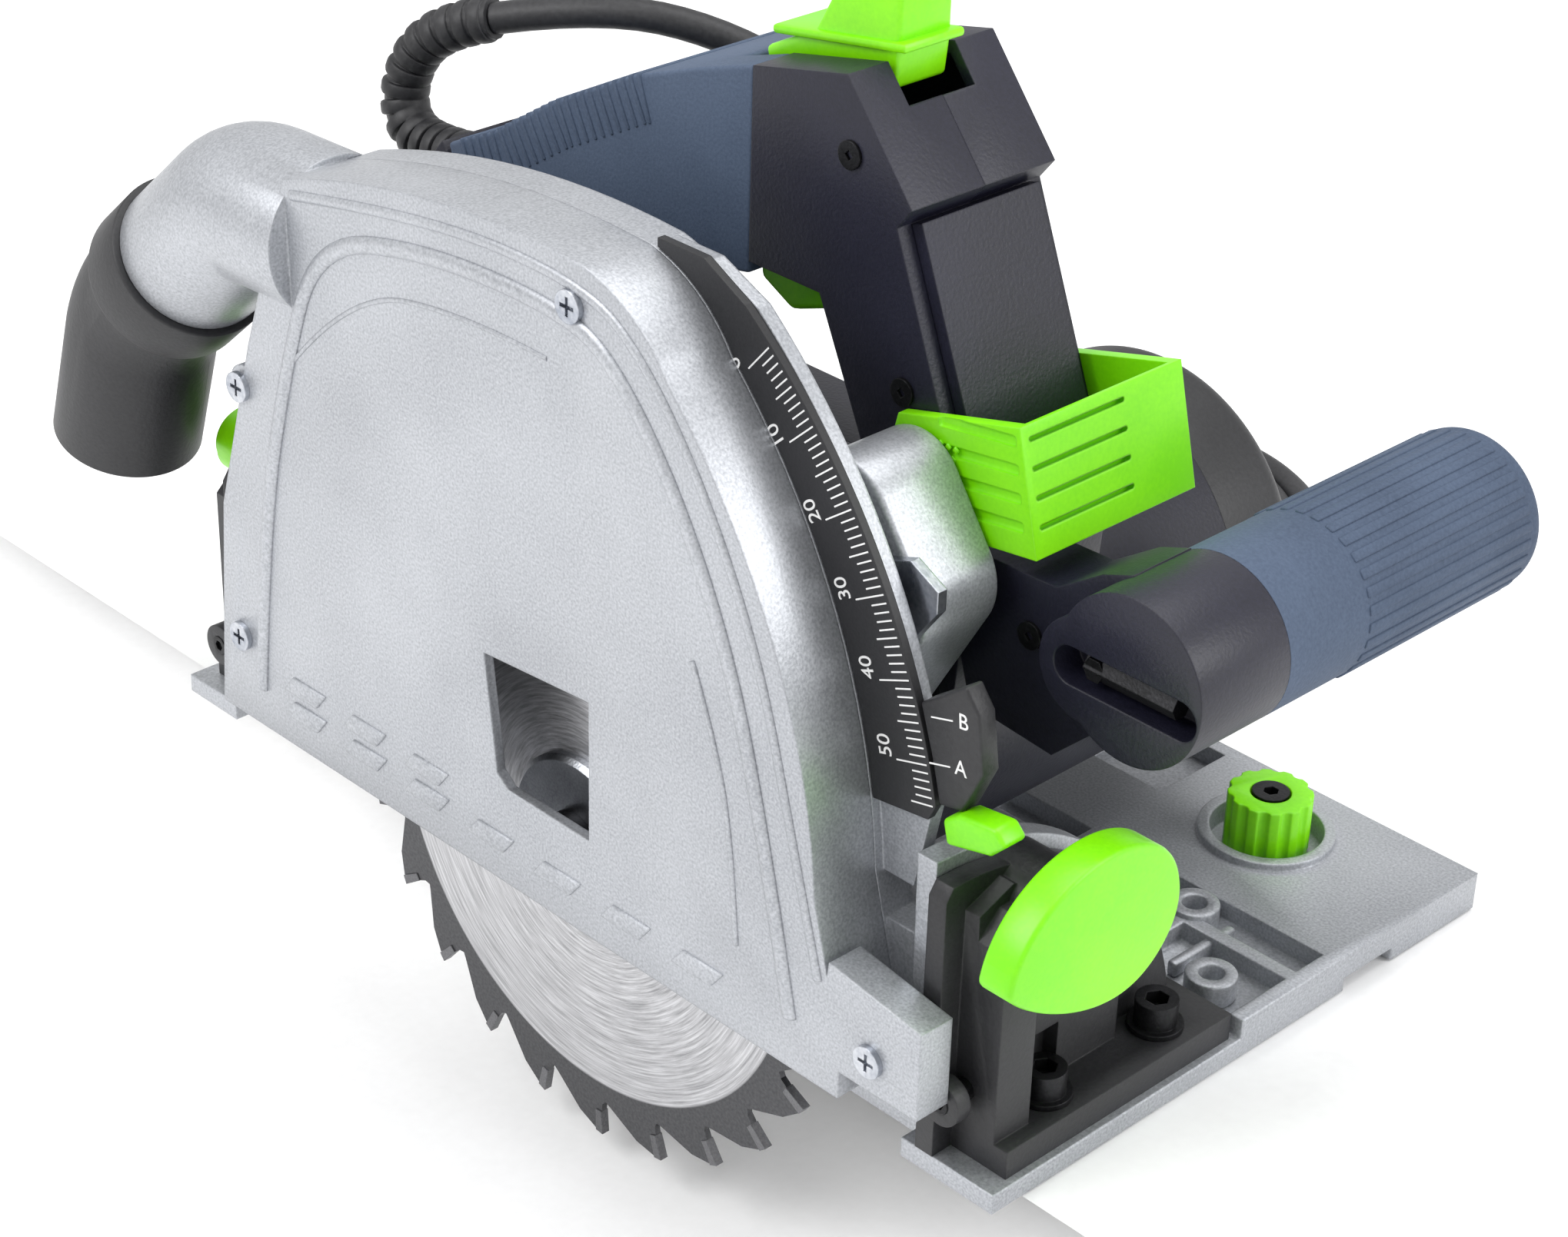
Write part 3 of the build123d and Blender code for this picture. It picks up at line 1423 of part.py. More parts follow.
def rail_knob(x):
    """Fluted adjusting knob over its pocket."""
    with BuildPart() as knob:
        with BuildSketch(Plane.XY.offset(knob_bottom)):
            with Locations((x, rail_knob_y)):
                Circle(rail_knob_radius)
                with PolarLocations(rail_knob_radius + 1.2, 12):
                    Circle(2, mode=Mode.SUBTRACT)
        extrude(amount=knob_top - knob_bottom)
        with BuildSketch(Plane.XY.offset(knob_top)):
            with Locations((x, rail_knob_y)):
                Circle(5)
        extrude(amount=-3, mode=Mode.SUBTRACT)
        with BuildSketch(Plane.XY.offset(knob_top)):
            with Locations((x, rail_knob_y)):
                Circle(2.5 + running_clearance)
        extrude(amount=-knob_top, mode=Mode.SUBTRACT)
    return knob.part


with BuildPart() as rail_knob_front:
    add(rail_knob(rail_knob_x[0]))
rail_knob_front.part.label = "rail_knob_front"
export_step(rail_knob_front.part, "parts/rail_knob_front.step")

with BuildPart() as rail_knob_rear:
    add(rail_knob(rail_knob_x[1]))
rail_knob_rear.part.label = "rail_knob_rear"
export_step(rail_knob_rear.part, "parts/rail_knob_rear.step")

with BuildPart() as rail_knob_screws:
    for x in rail_knob_x:
        with BuildSketch(Plane.XY.offset(base_floor - 3.5 + 0.2)):
            with Locations((x, rail_knob_y)):
                Circle(2.5)
        extrude(amount=knob_top - 3 - base_floor + 3.3)
        with BuildSketch(Plane.XY.offset(knob_top - 2.9)):
            with Locations((x, rail_knob_y)):
                Circle(4.6)
                RegularPolygon(2, 6, mode=Mode.SUBTRACT)
        extrude(amount=3.2)
rail_knob_screws.part.label = "rail_knob_screws"
export_step(rail_knob_screws.part, "parts/rail_knob_screws.step")
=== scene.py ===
import bpy
import json
import math
from mathutils import Matrix, Vector

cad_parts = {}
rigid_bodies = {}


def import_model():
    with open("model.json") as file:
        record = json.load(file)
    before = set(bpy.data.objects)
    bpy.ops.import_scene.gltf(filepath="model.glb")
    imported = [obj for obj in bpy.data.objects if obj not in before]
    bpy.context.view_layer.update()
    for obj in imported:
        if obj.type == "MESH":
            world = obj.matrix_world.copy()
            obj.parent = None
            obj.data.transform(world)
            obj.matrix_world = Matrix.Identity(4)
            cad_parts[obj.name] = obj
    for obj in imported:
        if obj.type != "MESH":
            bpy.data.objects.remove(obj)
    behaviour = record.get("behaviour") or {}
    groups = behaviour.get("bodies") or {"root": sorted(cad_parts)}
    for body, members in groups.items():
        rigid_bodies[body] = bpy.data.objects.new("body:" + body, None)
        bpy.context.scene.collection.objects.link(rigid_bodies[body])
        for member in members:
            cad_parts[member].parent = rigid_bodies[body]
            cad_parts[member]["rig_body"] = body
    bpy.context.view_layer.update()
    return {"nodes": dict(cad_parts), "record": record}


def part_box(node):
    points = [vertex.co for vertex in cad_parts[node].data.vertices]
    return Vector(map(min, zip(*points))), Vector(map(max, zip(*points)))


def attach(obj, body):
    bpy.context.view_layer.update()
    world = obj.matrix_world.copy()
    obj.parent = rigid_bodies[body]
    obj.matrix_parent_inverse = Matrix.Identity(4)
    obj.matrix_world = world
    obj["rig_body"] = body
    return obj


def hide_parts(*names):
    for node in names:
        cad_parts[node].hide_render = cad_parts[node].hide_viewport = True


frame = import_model()
bpy.ops.object.select_all(action="DESELECT")
print("frame loaded")

# camera
shot = {
    "place": (0.4947, -0.4286, 0.4580),
    "turn": (60.69, -1.69, 45.72),      # degrees
    "lens": 77.2,
    "shift": (-0.0154, -0.0096),
}
cameraData = bpy.data.cameras.new("camera")
cameraData.lens = shot["lens"]
cameraData.shift_x, cameraData.shift_y = shot["shift"]
cameraData.clip_start = 0.02
camera = bpy.data.objects.new("camera", cameraData)
camera.location = shot["place"]
camera.rotation_euler = [math.radians(turn) for turn in shot["turn"]]
bpy.context.scene.collection.objects.link(camera)
bpy.context.scene.camera = camera
bpy.context.scene.view_settings.view_transform = "Standard"


# finishes
# linear colour of a screen colour
def linear(shade):
    return [part / 12.92 if part < 0.041 else ((part + 0.055) / 1.055) ** 2.4 for part in shade] + [1]


def newFinish(name):
    finish = bpy.data.materials.new(name)
    finish.use_nodes = True
    tree = finish.node_tree
    return finish, tree, tree.nodes["Principled BSDF"]


def addNode(tree, kind, **inputs):
    made = tree.nodes.new("ShaderNode" + kind)
    for name, value in inputs.items():
        made.inputs[name.replace("_", " ")].default_value = value
    return made


def addNoise(tree, place, scale, detail=3.0, rough=0.5):
    noise = addNode(tree, "TexNoise", Scale=scale, Detail=detail, Roughness=rough)
    tree.links.new(place, noise.inputs["Vector"])
    return noise


def addRamp(tree, source, low, high, spread=(0.3, 0.7)):
    ramp = tree.nodes.new("ShaderNodeValToRGB")
    ramp.color_ramp.elements[0].position, ramp.color_ramp.elements[1].position = spread
    ramp.color_ramp.elements[0].color = linear(low)
    ramp.color_ramp.elements[1].color = linear(high)
    tree.links.new(source, ramp.inputs["Fac"])
    return ramp


def addRange(tree, source, low, high):
    span = addNode(tree, "MapRange", To_Min=low, To_Max=high)
    tree.links.new(source, span.inputs["Value"])
    return span


def addBump(tree, shader, height, strength, distance, soften=0.0):
    bump = addNode(tree, "Bump", Strength=strength, Distance=distance)
    tree.links.new(height, bump.inputs["Height"])
    if soften:                                   # catches light along sharp edges
        edge = addNode(tree, "Bevel", Radius=soften)
        edge.samples = 4
        tree.links.new(edge.outputs["Normal"], bump.inputs["Normal"])
    tree.links.new(bump.outputs["Normal"], shader.inputs["Normal"])
    return bump


# plastic, rubber, paint or plain metal: clouded colour, fine grain, uneven gloss
def mouldedFinish(name, look):
    finish, tree, shader = newFinish(name)
    place = addNode(tree, "TexCoord").outputs["Object"]
    cloud = addNoise(tree, place, look.get("cloud", 18), 4)
    grain = addNoise(tree, place, look["grain"], 2)
    mixed = addNode(tree, "Mix")
    mixed.inputs["Factor"].default_value = look.get("speckle", 0.35)
    tree.links.new(cloud.outputs["Fac"], mixed.inputs["A"])
    tree.links.new(grain.outputs["Fac"], mixed.inputs["B"])
    colour = addRamp(tree, mixed.outputs["Result"], look["dark"], look["light"], (0.36, 0.64))
    tree.links.new(colour.outputs["Color"], shader.inputs["Base Color"])
    gloss = addRange(tree, cloud.outputs["Fac"], look["gloss"][0], look["gloss"][1])
    tree.links.new(gloss.outputs["Result"], shader.inputs["Roughness"])
    bump, depth = look.get("bump", 0.25), look.get("depth", 0.0002)
    addBump(tree, shader, grain.outputs["Fac"], bump, depth, look.get("soften", 0.0004))
    shader.inputs["Metallic"].default_value = look.get("metal", 0.0)
    shader.inputs["Coat Weight"].default_value = look.get("coat", 0.0)
    shader.inputs["Coat Roughness"].default_value = 0.25
    shader.inputs["Specular IOR Level"].default_value = look.get("shine", 0.5)
    return finish


finishLooks = {
    "cast_silver": {
        "dark": (0.60, 0.61, 0.63), "light": (0.74, 0.75, 0.77), "grain": 1500,
        "gloss": (0.34, 0.46), "metal": 0.6, "speckle": 0.6, "bump": 0.3, "depth": 0.00012,
        "coat": 0.15, "soften": 0.0007,
    },
    "navy_plastic": {
        "dark": (0.055, 0.055, 0.105), "light": (0.115, 0.115, 0.18), "grain": 1100,
        "gloss": (0.36, 0.5), "bump": 0.35, "depth": 0.00025, "soften": 0.0006,
    },
    "charcoal_plastic": {
        "dark": (0.105, 0.105, 0.115), "light": (0.175, 0.175, 0.185), "grain": 1000,
        "gloss": (0.42, 0.56), "bump": 0.35, "depth": 0.00022, "soften": 0.0005,
    },
    "scale_black": {
        "dark": (0.095, 0.095, 0.105), "light": (0.15, 0.15, 0.16), "grain": 1400,
        "gloss": (0.4, 0.5), "bump": 0.2,
    },
    "soft_grip": {
        "dark": (0.235, 0.285, 0.365), "light": (0.31, 0.365, 0.45), "grain": 1300,
        "gloss": (0.62, 0.75), "bump": 0.4, "depth": 0.00025, "shine": 0.35,
    },
    "lime_plastic": {
        "dark": (0.46, 0.85, 0.0), "light": (0.56, 0.93, 0.02), "grain": 900,
        "gloss": (0.3, 0.4), "bump": 0.12, "speckle": 0.2, "soften": 0.0005,
    },
    "carbide": {
        "dark": (0.33, 0.33, 0.34), "light": (0.50, 0.50, 0.51), "grain": 1800,
        "gloss": (0.4, 0.5), "metal": 0.8,
    },
    "black_steel": {
        "dark": (0.09, 0.09, 0.095), "light": (0.19, 0.19, 0.2), "grain": 1200,
        "gloss": (0.3, 0.42), "metal": 0.75, "cloud": 60,
    },
    "zinc_steel": {
        "dark": (0.60, 0.62, 0.66), "light": (0.80, 0.81, 0.83), "grain": 900,
        "gloss": (0.22, 0.36), "metal": 1.0, "cloud": 90,
    },
    "machined_steel": {
        "dark": (0.50, 0.51, 0.53), "light": (0.70, 0.71, 0.73), "grain": 1600,
        "gloss": (0.24, 0.36), "metal": 1.0, "cloud": 70,
    },
    "bronze": {
        "dark": (0.50, 0.36, 0.20), "light": (0.64, 0.47, 0.28), "grain": 900,
        "gloss": (0.32, 0.44), "metal": 1.0,
    },
    "carbon": {
        "dark": (0.06, 0.06, 0.06), "light": (0.12, 0.12, 0.12), "grain": 1800,
        "gloss": (0.55, 0.7),
    },
    "cord_rubber": {
        "dark": (0.10, 0.10, 0.11), "light": (0.20, 0.20, 0.21), "grain": 800,
        "gloss": (0.42, 0.6), "bump": 0.3,
    },
}
finishes = {name: mouldedFinish(name, look) for name, look in finishLooks.items()}

bladeLook = {
    "rim": 0.0672,         # radius where the darker ground rim starts
    "rings": 520,
    "dark": (0.60, 0.60, 0.61),
    "light": (0.86, 0.86, 0.87),
    "rimShade": (0.36, 0.36, 0.37),
}


# circular brushing round the arbor, with a darker ground rim
def bladeFinish():
    finish, tree, shader = newFinish("blade_steel")
    low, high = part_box("saw_blade")
    centre = (low + high) / 2
    place = addNode(tree, "TexCoord").outputs["Object"]
    shifted = addNode(tree, "Mapping")
    shifted.inputs["Location"].default_value = -centre
    tree.links.new(place, shifted.inputs["Vector"])
    parts = addNode(tree, "SeparateXYZ")
    tree.links.new(shifted.outputs["Vector"], parts.inputs["Vector"])
    flat = addNode(tree, "CombineXYZ")
    tree.links.new(parts.outputs["X"], flat.inputs["X"])
    tree.links.new(parts.outputs["Z"], flat.inputs["Z"])
    reach = addNode(tree, "VectorMath")
    reach.operation = "LENGTH"
    tree.links.new(flat.outputs["Vector"], reach.inputs[0])
    turn = addNode(tree, "Math")
    turn.operation = "ARCTAN2"
    tree.links.new(parts.outputs["Z"], turn.inputs[0])
    tree.links.new(parts.outputs["X"], turn.inputs[1])
    rings = addNode(tree, "Math")
    rings.operation = "MULTIPLY"
    rings.inputs[1].default_value = bladeLook["rings"]
    tree.links.new(reach.outputs["Value"], rings.inputs[0])
    polar = addNode(tree, "CombineXYZ")
    tree.links.new(rings.outputs["Value"], polar.inputs["X"])
    tree.links.new(turn.outputs["Value"], polar.inputs["Y"])
    brushed = addNoise(tree, polar.outputs["Vector"], 3.0, 6, 0.7)
    shade = addRamp(tree, brushed.outputs["Fac"], bladeLook["dark"], bladeLook["light"], (0.35, 0.65))
    onRim = addNode(tree, "MapRange", From_Min=bladeLook["rim"], From_Max=bladeLook["rim"] + 0.0006)
    tree.links.new(reach.outputs["Value"], onRim.inputs["Value"])
    grit = addNoise(tree, place, 1200, 3)
    rimDark = [part * 0.8 for part in bladeLook["rimShade"]]
    rimShade = addRamp(tree, grit.outputs["Fac"], rimDark, bladeLook["rimShade"])
    mixed = tree.nodes.new("ShaderNodeMix")
    mixed.data_type = "RGBA"
    tree.links.new(onRim.outputs["Result"], mixed.inputs["Factor"])
    for socket in mixed.inputs:
        if socket.type == "RGBA" and socket.name == "A":
            tree.links.new(shade.outputs["Color"], socket)
        if socket.type == "RGBA" and socket.name == "B":
            tree.links.new(rimShade.outputs["Color"], socket)
    colour = [socket for socket in mixed.outputs if socket.type == "RGBA"][0]
    tree.links.new(colour, shader.inputs["Base Color"])
    gloss = addRange(tree, brushed.outputs["Fac"], 0.22, 0.42)
    tree.links.new(gloss.outputs["Result"], shader.inputs["Roughness"])
    addBump(tree, shader, brushed.outputs["Fac"], 0.12, 0.0001)
    shader.inputs["Metallic"].default_value = 0.9
    return finish


finishes["blade_steel"] = bladeFinish()
slotOf = {part["node"]: part["material_slot"] for part in frame["record"]["subparts"]}
for name, node in frame["nodes"].items():
    node.data.materials.clear()
    node.data.materials.append(finishes[slotOf[name]])
print("finishes made:", len(finishes))


# stage and light
room = {"drop": 0.062, "edge": 0.006, "skin": 0.0005, "sky": 0.78, "size": 6.0}
paperLook = {
    "dark": (0.97, 0.97, 0.97), "light": (0.995, 0.995, 0.995),
    "grain": 300, "gloss": (0.7, 0.8), "bump": 0.05, "soften": 0.0,
}
paper = mouldedFinish("paper", paperLook)
bpy.ops.mesh.primitive_plane_add(size=room["size"], location=(0, 0, -room["drop"]))
ground = bpy.context.object
ground.name = "ground"
bpy.ops.mesh.primitive_cube_add(size=1)
table = bpy.context.object
table.name = "table"
for corner in table.data.vertices:
    x, y, z = corner.co
    under = room["drop"] if z < 0 and y < 0 else 0          # the near edge slopes back under the top
    y = room["edge"] + under if y < 0 else room["size"] / 2
    corner.co = (x * room["size"], y, -room["skin"] if z > 0 else -room["drop"])
for piece in (ground, table):
    piece.data.materials.append(paper)
bpy.ops.object.select_all(action="DESELECT")

world = bpy.data.worlds.new("sky")
bpy.context.scene.world = world
world.use_nodes = True
world.node_tree.nodes["Background"].inputs["Color"].default_value = (1, 1, 1, 1)
world.node_tree.nodes["Background"].inputs["Strength"].default_value = room["sky"]

lamps = {
    "key": {"place": (-0.5, -1.1, 1.2), "aim": (0, 0, 0.08), "size": 0.9, "power": 14},
    "top": {"place": (0.1, 0.3, 1.5), "aim": (0, 0.05, 0.1), "size": 1.2, "power": 12},
    "rim": {"place": (1.2, 0.6, 0.7), "aim": (0.05, 0.05, 0.1), "size": 0.6, "power": 7},
}
for name, lamp in lamps.items():
    light = bpy.data.lights.new(name, "AREA")
    light.energy = lamp["power"]
    light.size = lamp["size"]
    holder = bpy.data.objects.new(name, light)
    holder.location = lamp["place"]
    facing = Vector(lamp["place"]) - Vector(lamp["aim"])
    holder.rotation_euler = facing.to_track_quat("Z", "Y").to_euler()
    bpy.context.scene.collection.objects.link(holder)
print("stage and light set")


# mains lead
lead = {
    "radius": 0.004,
    "route": [
        (-0.119, 0.074, 0.177), (-0.095, 0.087, 0.184), (-0.070, 0.105, 0.180), (-0.050, 0.126, 0.163),
        (-0.037, 0.146, 0.136), (-0.029, 0.163, 0.101), (-0.023, 0.178, 0.066), (-0.010, 0.194, 0.037),
        (0.005, 0.212, 0.019), (0.014, 0.237, 0.012),
    ],
    "pointsPerTurn": 20,
    "pitch": 0.0081,
    "turnsIn": 3.38,
    "toPlug": [(0.027, 0.009, -0.0095), (0.011, 0.0045, -0.004), (-0.001, 0, 0)],      # from its boot
}


# the route's points, then the coil's turns: inward on top, outward below
def leadPoints():
    points = [Vector(point) for point in lead["route"]]
    low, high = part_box("cord_coil")
    centre = (low + high) / 2
    outer = (high.x - low.x) / 2 - lead["radius"]
    layers = (low.z + 3 * lead["radius"], low.z + lead["radius"])
    start = math.atan2(points[-1].y - centre.y, points[-1].x - centre.x)
    turnsIn = lead["turnsIn"]
    turn = 0.06
    while turn <= 2 * turnsIn + 0.5:
        if turn < turnsIn:
            reach, height = outer - lead["pitch"] * turn, layers[0]
        elif turn < turnsIn + 0.5:
            share = (turn - turnsIn) / 0.5
            reach = outer - lead["pitch"] * turnsIn - 0.0015 * math.sin(math.pi * share)
            height = layers[0] + (layers[1] - layers[0]) * min(1, share * 1.2)
        else:
            reach = outer - lead["pitch"] * (2 * turnsIn + 0.5 - turn)
            height = layers[1]
        angle = start + 2 * math.pi * turn
        across, along = reach * math.cos(angle), reach * math.sin(angle)
        points.append(Vector((centre.x + across, centre.y + along, height)))
        turn += 1 / lead["pointsPerTurn"]
    low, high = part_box("plug")
    plugEnd = Vector((high.x, (low.y + high.y) / 2, (low.z + high.z) / 2))
    return points + [plugEnd + Vector(step) for step in lead["toPlug"]]


def smoothTube(name, points, radius, resolution=6):
    curve = bpy.data.curves.new(name, "CURVE")
    curve.dimensions = "3D"
    spline = curve.splines.new("NURBS")
    spline.points.add(len(points) - 1)
    for held, point in zip(spline.points, points):
        held.co = (*point, 1)
    spline.order_u = 3
    spline.use_endpoint_u = True
    curve.resolution_u = resolution
    curve.bevel_depth = radius
    curve.bevel_resolution = 5
    curve.use_fill_caps = True
    tube = bpy.data.objects.new(name, curve)
    bpy.context.scene.collection.objects.link(tube)
    return tube


# real length of a tube's centre line
def splineLength(tube):
    held = tube.data.bevel_depth
    tube.data.bevel_depth = 0
    bpy.context.view_layer.update()
    line = bpy.data.meshes.new_from_object(tube)
    tube.data.bevel_depth = held
    spots = [vertex.co.copy() for vertex in line.vertices]
    bpy.data.meshes.remove(line)
    return sum((after - before).length for before, after in zip(spots, spots[1:])), spots


leadTube = smoothTube("main_lead", leadPoints(), lead["radius"])
leadTube.data.materials.append(finishes["cord_rubber"])
leadLength = splineLength(leadTube)[0]
print("lead length", round(leadLength, 3))
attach(leadTube, "motor_unit")
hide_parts("power_cord", "cord_coil")


# shared modelling steps
# enter edit mode with only the faces or edges that pass the test selected
def pick(piece, test, mode="FACE"):
    bpy.ops.object.select_all(action="DESELECT")
    piece.select_set(True)
    bpy.context.view_layer.objects.active = piece
    bpy.ops.object.mode_set(mode="EDIT")
    bpy.ops.mesh.select_mode(type=mode)
    bpy.ops.mesh.select_all(action="DESELECT")
    bpy.ops.object.mode_set(mode="OBJECT")
    parts = piece.data.polygons if mode == "FACE" else piece.data.edges
    for part in parts:
        part.select = bool(test(part))
    bpy.ops.object.mode_set(mode="EDIT")


def leaveEdit():
    bpy.ops.object.mode_set(mode="OBJECT")
    bpy.ops.object.select_all(action="DESELECT")


# put the place into the mesh, then name, finish and ride the piece
def settle(piece, name, finish, body):
    bpy.ops.object.select_all(action="DESELECT")
    piece.select_set(True)
    bpy.context.view_layer.objects.active = piece
    bpy.ops.object.transform_apply(location=True, rotation=True, scale=True)
    piece.name = name
    piece.data.materials.clear()
    piece.data.materials.append(finishes[finish])
    bpy.ops.object.shade_smooth_by_angle(angle=math.radians(35))
    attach(piece, body)
    piece.select_set(False)
    return piece


def useModifier(piece, kind, **values):
    bpy.ops.object.select_all(action="DESELECT")
    piece.select_set(True)
    bpy.context.view_layer.objects.active = piece
    added = piece.modifiers.new(kind.lower(), kind)
    for name, value in values.items():
        setattr(added, name, value)
    bpy.ops.object.modifier_apply(modifier=added.name)


# a merged copy of a CAD node with its sharp edges rounded; it stands for the node
def softened(node, width):
    source = frame["nodes"][node]
    piece = bpy.data.objects.new(node + "_soft", source.data.copy())
    bpy.context.scene.collection.objects.link(piece)
    pick(piece, lambda face: True)
    bpy.ops.mesh.remove_doubles(threshold=0.000002)
    bpy.ops.mesh.dissolve_limited(angle_limit=math.radians(1.5))
    leaveEdit()
    useModifier(
        piece, "BEVEL", width=width, segments=3,
        limit_method="ANGLE", angle_limit=math.radians(35),
    )
    settle(piece, node + "_soft", slotOf[node], source["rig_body"])
    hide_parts(node)
    return piece


softPieces = {
    "handle_left": 0.0022, "handle_right": 0.0022, "rear_grip_sleeve": 0.0012,
    "change_lever": 0.0009, "plunge_button": 0.0012, "trigger": 0.0018,
    "bevel_knob_front": 0.0020, "bevel_knob_rear": 0.0015, "front_bracket": 0.0010, "rear_bracket": 0.0010,
    "base_plate": 0.0006, "guard_cover": 0.0009, "gear_housing": 0.0022, "depth_stop_block": 0.0006,
    "depth_clamp": 0.0010, "dust_elbow": 0.0006, "motor_end_cap": 0.0008, "rail_knob_front": 0.0004,
    "rail_knob_rear": 0.0004, "plug": 0.0012,
}
soft = {node: softened(node, width) for node, width in softPieces.items()}
print("softened pieces:", len(soft))

pinLength = 0.0178
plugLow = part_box("plug")[0].x
soft["plug"].data.materials.append(finishes["zinc_steel"])
for face in soft["plug"].data.polygons:
    face.material_index = int(face.center.x < plugLow + pinLength)      # the two pins are metal

coverFace = -0.016       # outer face of the blade cover


def copied(piece, place):
    twin = bpy.data.objects.new(piece.name, piece.data.copy())
    bpy.context.scene.collection.objects.link(twin)
    twin.matrix_world = place
    return twin


def joined(pieces):
    bpy.context.view_layer.update()
    bpy.ops.object.select_all(action="DESELECT")
    for piece in pieces:
        piece.select_set(True)
    bpy.context.view_layer.objects.active = pieces[0]
    bpy.ops.object.join()
    return pieces[0]


# copies of a pattern piece at each place, joined; the pattern itself goes
def spread(pattern, places):
    pieces = [copied(pattern, place) for place in places]
    bpy.data.objects.remove(pattern)
    return joined(pieces)


# bar with rounded edges, centred on the origin
def roundBar(size, edge, segments=2):
    bpy.ops.object.select_all(action="DESELECT")
    bpy.ops.mesh.primitive_cube_add(size=1)
    bar = bpy.context.object
    bar.scale = size
    bpy.ops.object.transform_apply(scale=True)
    bpy.ops.object.mode_set(mode="EDIT")
    bpy.ops.mesh.select_all(action="SELECT")
    bpy.ops.mesh.bevel(offset=edge, segments=segments, affect="EDGES")
    leaveEdit()
    return bar


# place in the side view: local X points at this angle, measured from +X towards +Z
def sideTurn(degrees, place):
    return Matrix.Translation(Vector(place)) @ Matrix.Rotation(-math.radians(degrees), 4, "Y")


# rounded moulded ridge on a face seen from the blade side
def bead(name, points, radius, flat, body, slot):
    tube = smoothTube(name, [Vector(point) for point in points], radius, 8)
    bpy.context.view_layer.objects.active = tube
    bpy.ops.object.select_all(action="DESELECT")
    tube.select_set(True)
    bpy.ops.object.convert(target="MESH")
    ridge = bpy.context.object
    level = points[0][1]
    for vertex in ridge.data.vertices:
        vertex.co.y = level + (vertex.co.y - level) * flat
    return settle(ridge, name, slot, body)


# depth scale marks
marks = {
    "centre": (-0.050, 0.050),       # X and Z of the scale arc's centre
    "outer": 0.1592,
    "top": 49.4,                     # degrees, at the mark 0
    "step": 0.6625,
    "last": 55,
    "lengths": (0.0046, 0.0062, 0.0088),
    "width": 0.00036,
    "thick": 0.00024,
    "digits": 0.0052,
    "digitsAt": 0.1492,
}
whitePrint = {
    "dark": (0.86, 0.86, 0.86), "light": (0.93, 0.93, 0.93),
    "grain": 1500, "gloss": (0.5, 0.6), "bump": 0.05, "soften": 0.0,
}
finishes["white_print"] = mouldedFinish("white_print", whitePrint)
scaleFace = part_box("depth_scale")[0].y


# flat raised character, its reading direction and its top given as two directions
def printed(text, size, columns, place):
    bpy.ops.object.select_all(action="DESELECT")
    bpy.ops.object.text_add()
    label = bpy.context.object
    label.data.body = text
    label.data.size = size
    label.data.align_x = "CENTER"
    label.data.extrude = marks["thick"] / 2
    bpy.ops.object.convert(target="MESH")
    label = bpy.context.object
    along, up = Vector(columns[0]), Vector(columns[1])
    turned = Matrix((along, up, along.cross(up))).transposed().to_4x4()
    label.matrix_world = Matrix.Translation(Vector(place)) @ turned
    return label


ticks = []
for value in range(marks["last"] + 1):
    angle = marks["top"] - marks["step"] * value
    length = marks["lengths"][2 if value % 10 == 0 else 1 if value % 5 == 0 else 0]
    way = Vector((math.cos(math.radians(angle)), 0, math.sin(math.radians(angle))))
    middle = Vector((marks["centre"][0], scaleFace, marks["centre"][1])) + way * (marks["outer"] - length / 2)
    tick = roundBar((length, marks["thick"], marks["width"]), 0.00006, 1)
    tick.matrix_world = sideTurn(angle, middle)
    ticks.append(tick)
    if value % 10 == 0:
        turned = math.radians(angle + marks["step"] * 1.6)
        spot = Vector((marks["centre"][0] + marks["digitsAt"] * math.cos(turned), scaleFace,
                       marks["centre"][1] + marks["digitsAt"] * math.sin(turned)))
        columns = ((-way.z, 0, way.x), (-way.x, 0, -way.z))
        ticks.append(printed(str(value), marks["digits"], columns, spot))
settle(joined(ticks), "scale_marks", "white_print", "guard")

low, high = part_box("depth_stop_block")
stopMarks = []
for letter, height in (("B", 0.70), ("A", 0.34)):
    level = low.z + (high.z - low.z) * height
    line = roundBar((0.0062, marks["thick"], marks["width"]), 0.00006, 1)
    line.matrix_world = sideTurn(16, (low.x + 0.0062, low.y, level - 0.0008))
    stopMarks.append(line)
    spot = (low.x + 0.0122, low.y, level - 0.0006)
    stopMarks.append(printed(letter, 0.0050, ((1, 0, 0.1), (-0.1, 0, 1)), spot))
settle(joined(stopMarks), "stop_marks", "white_print", "depth_stop")
print("scale marks printed")

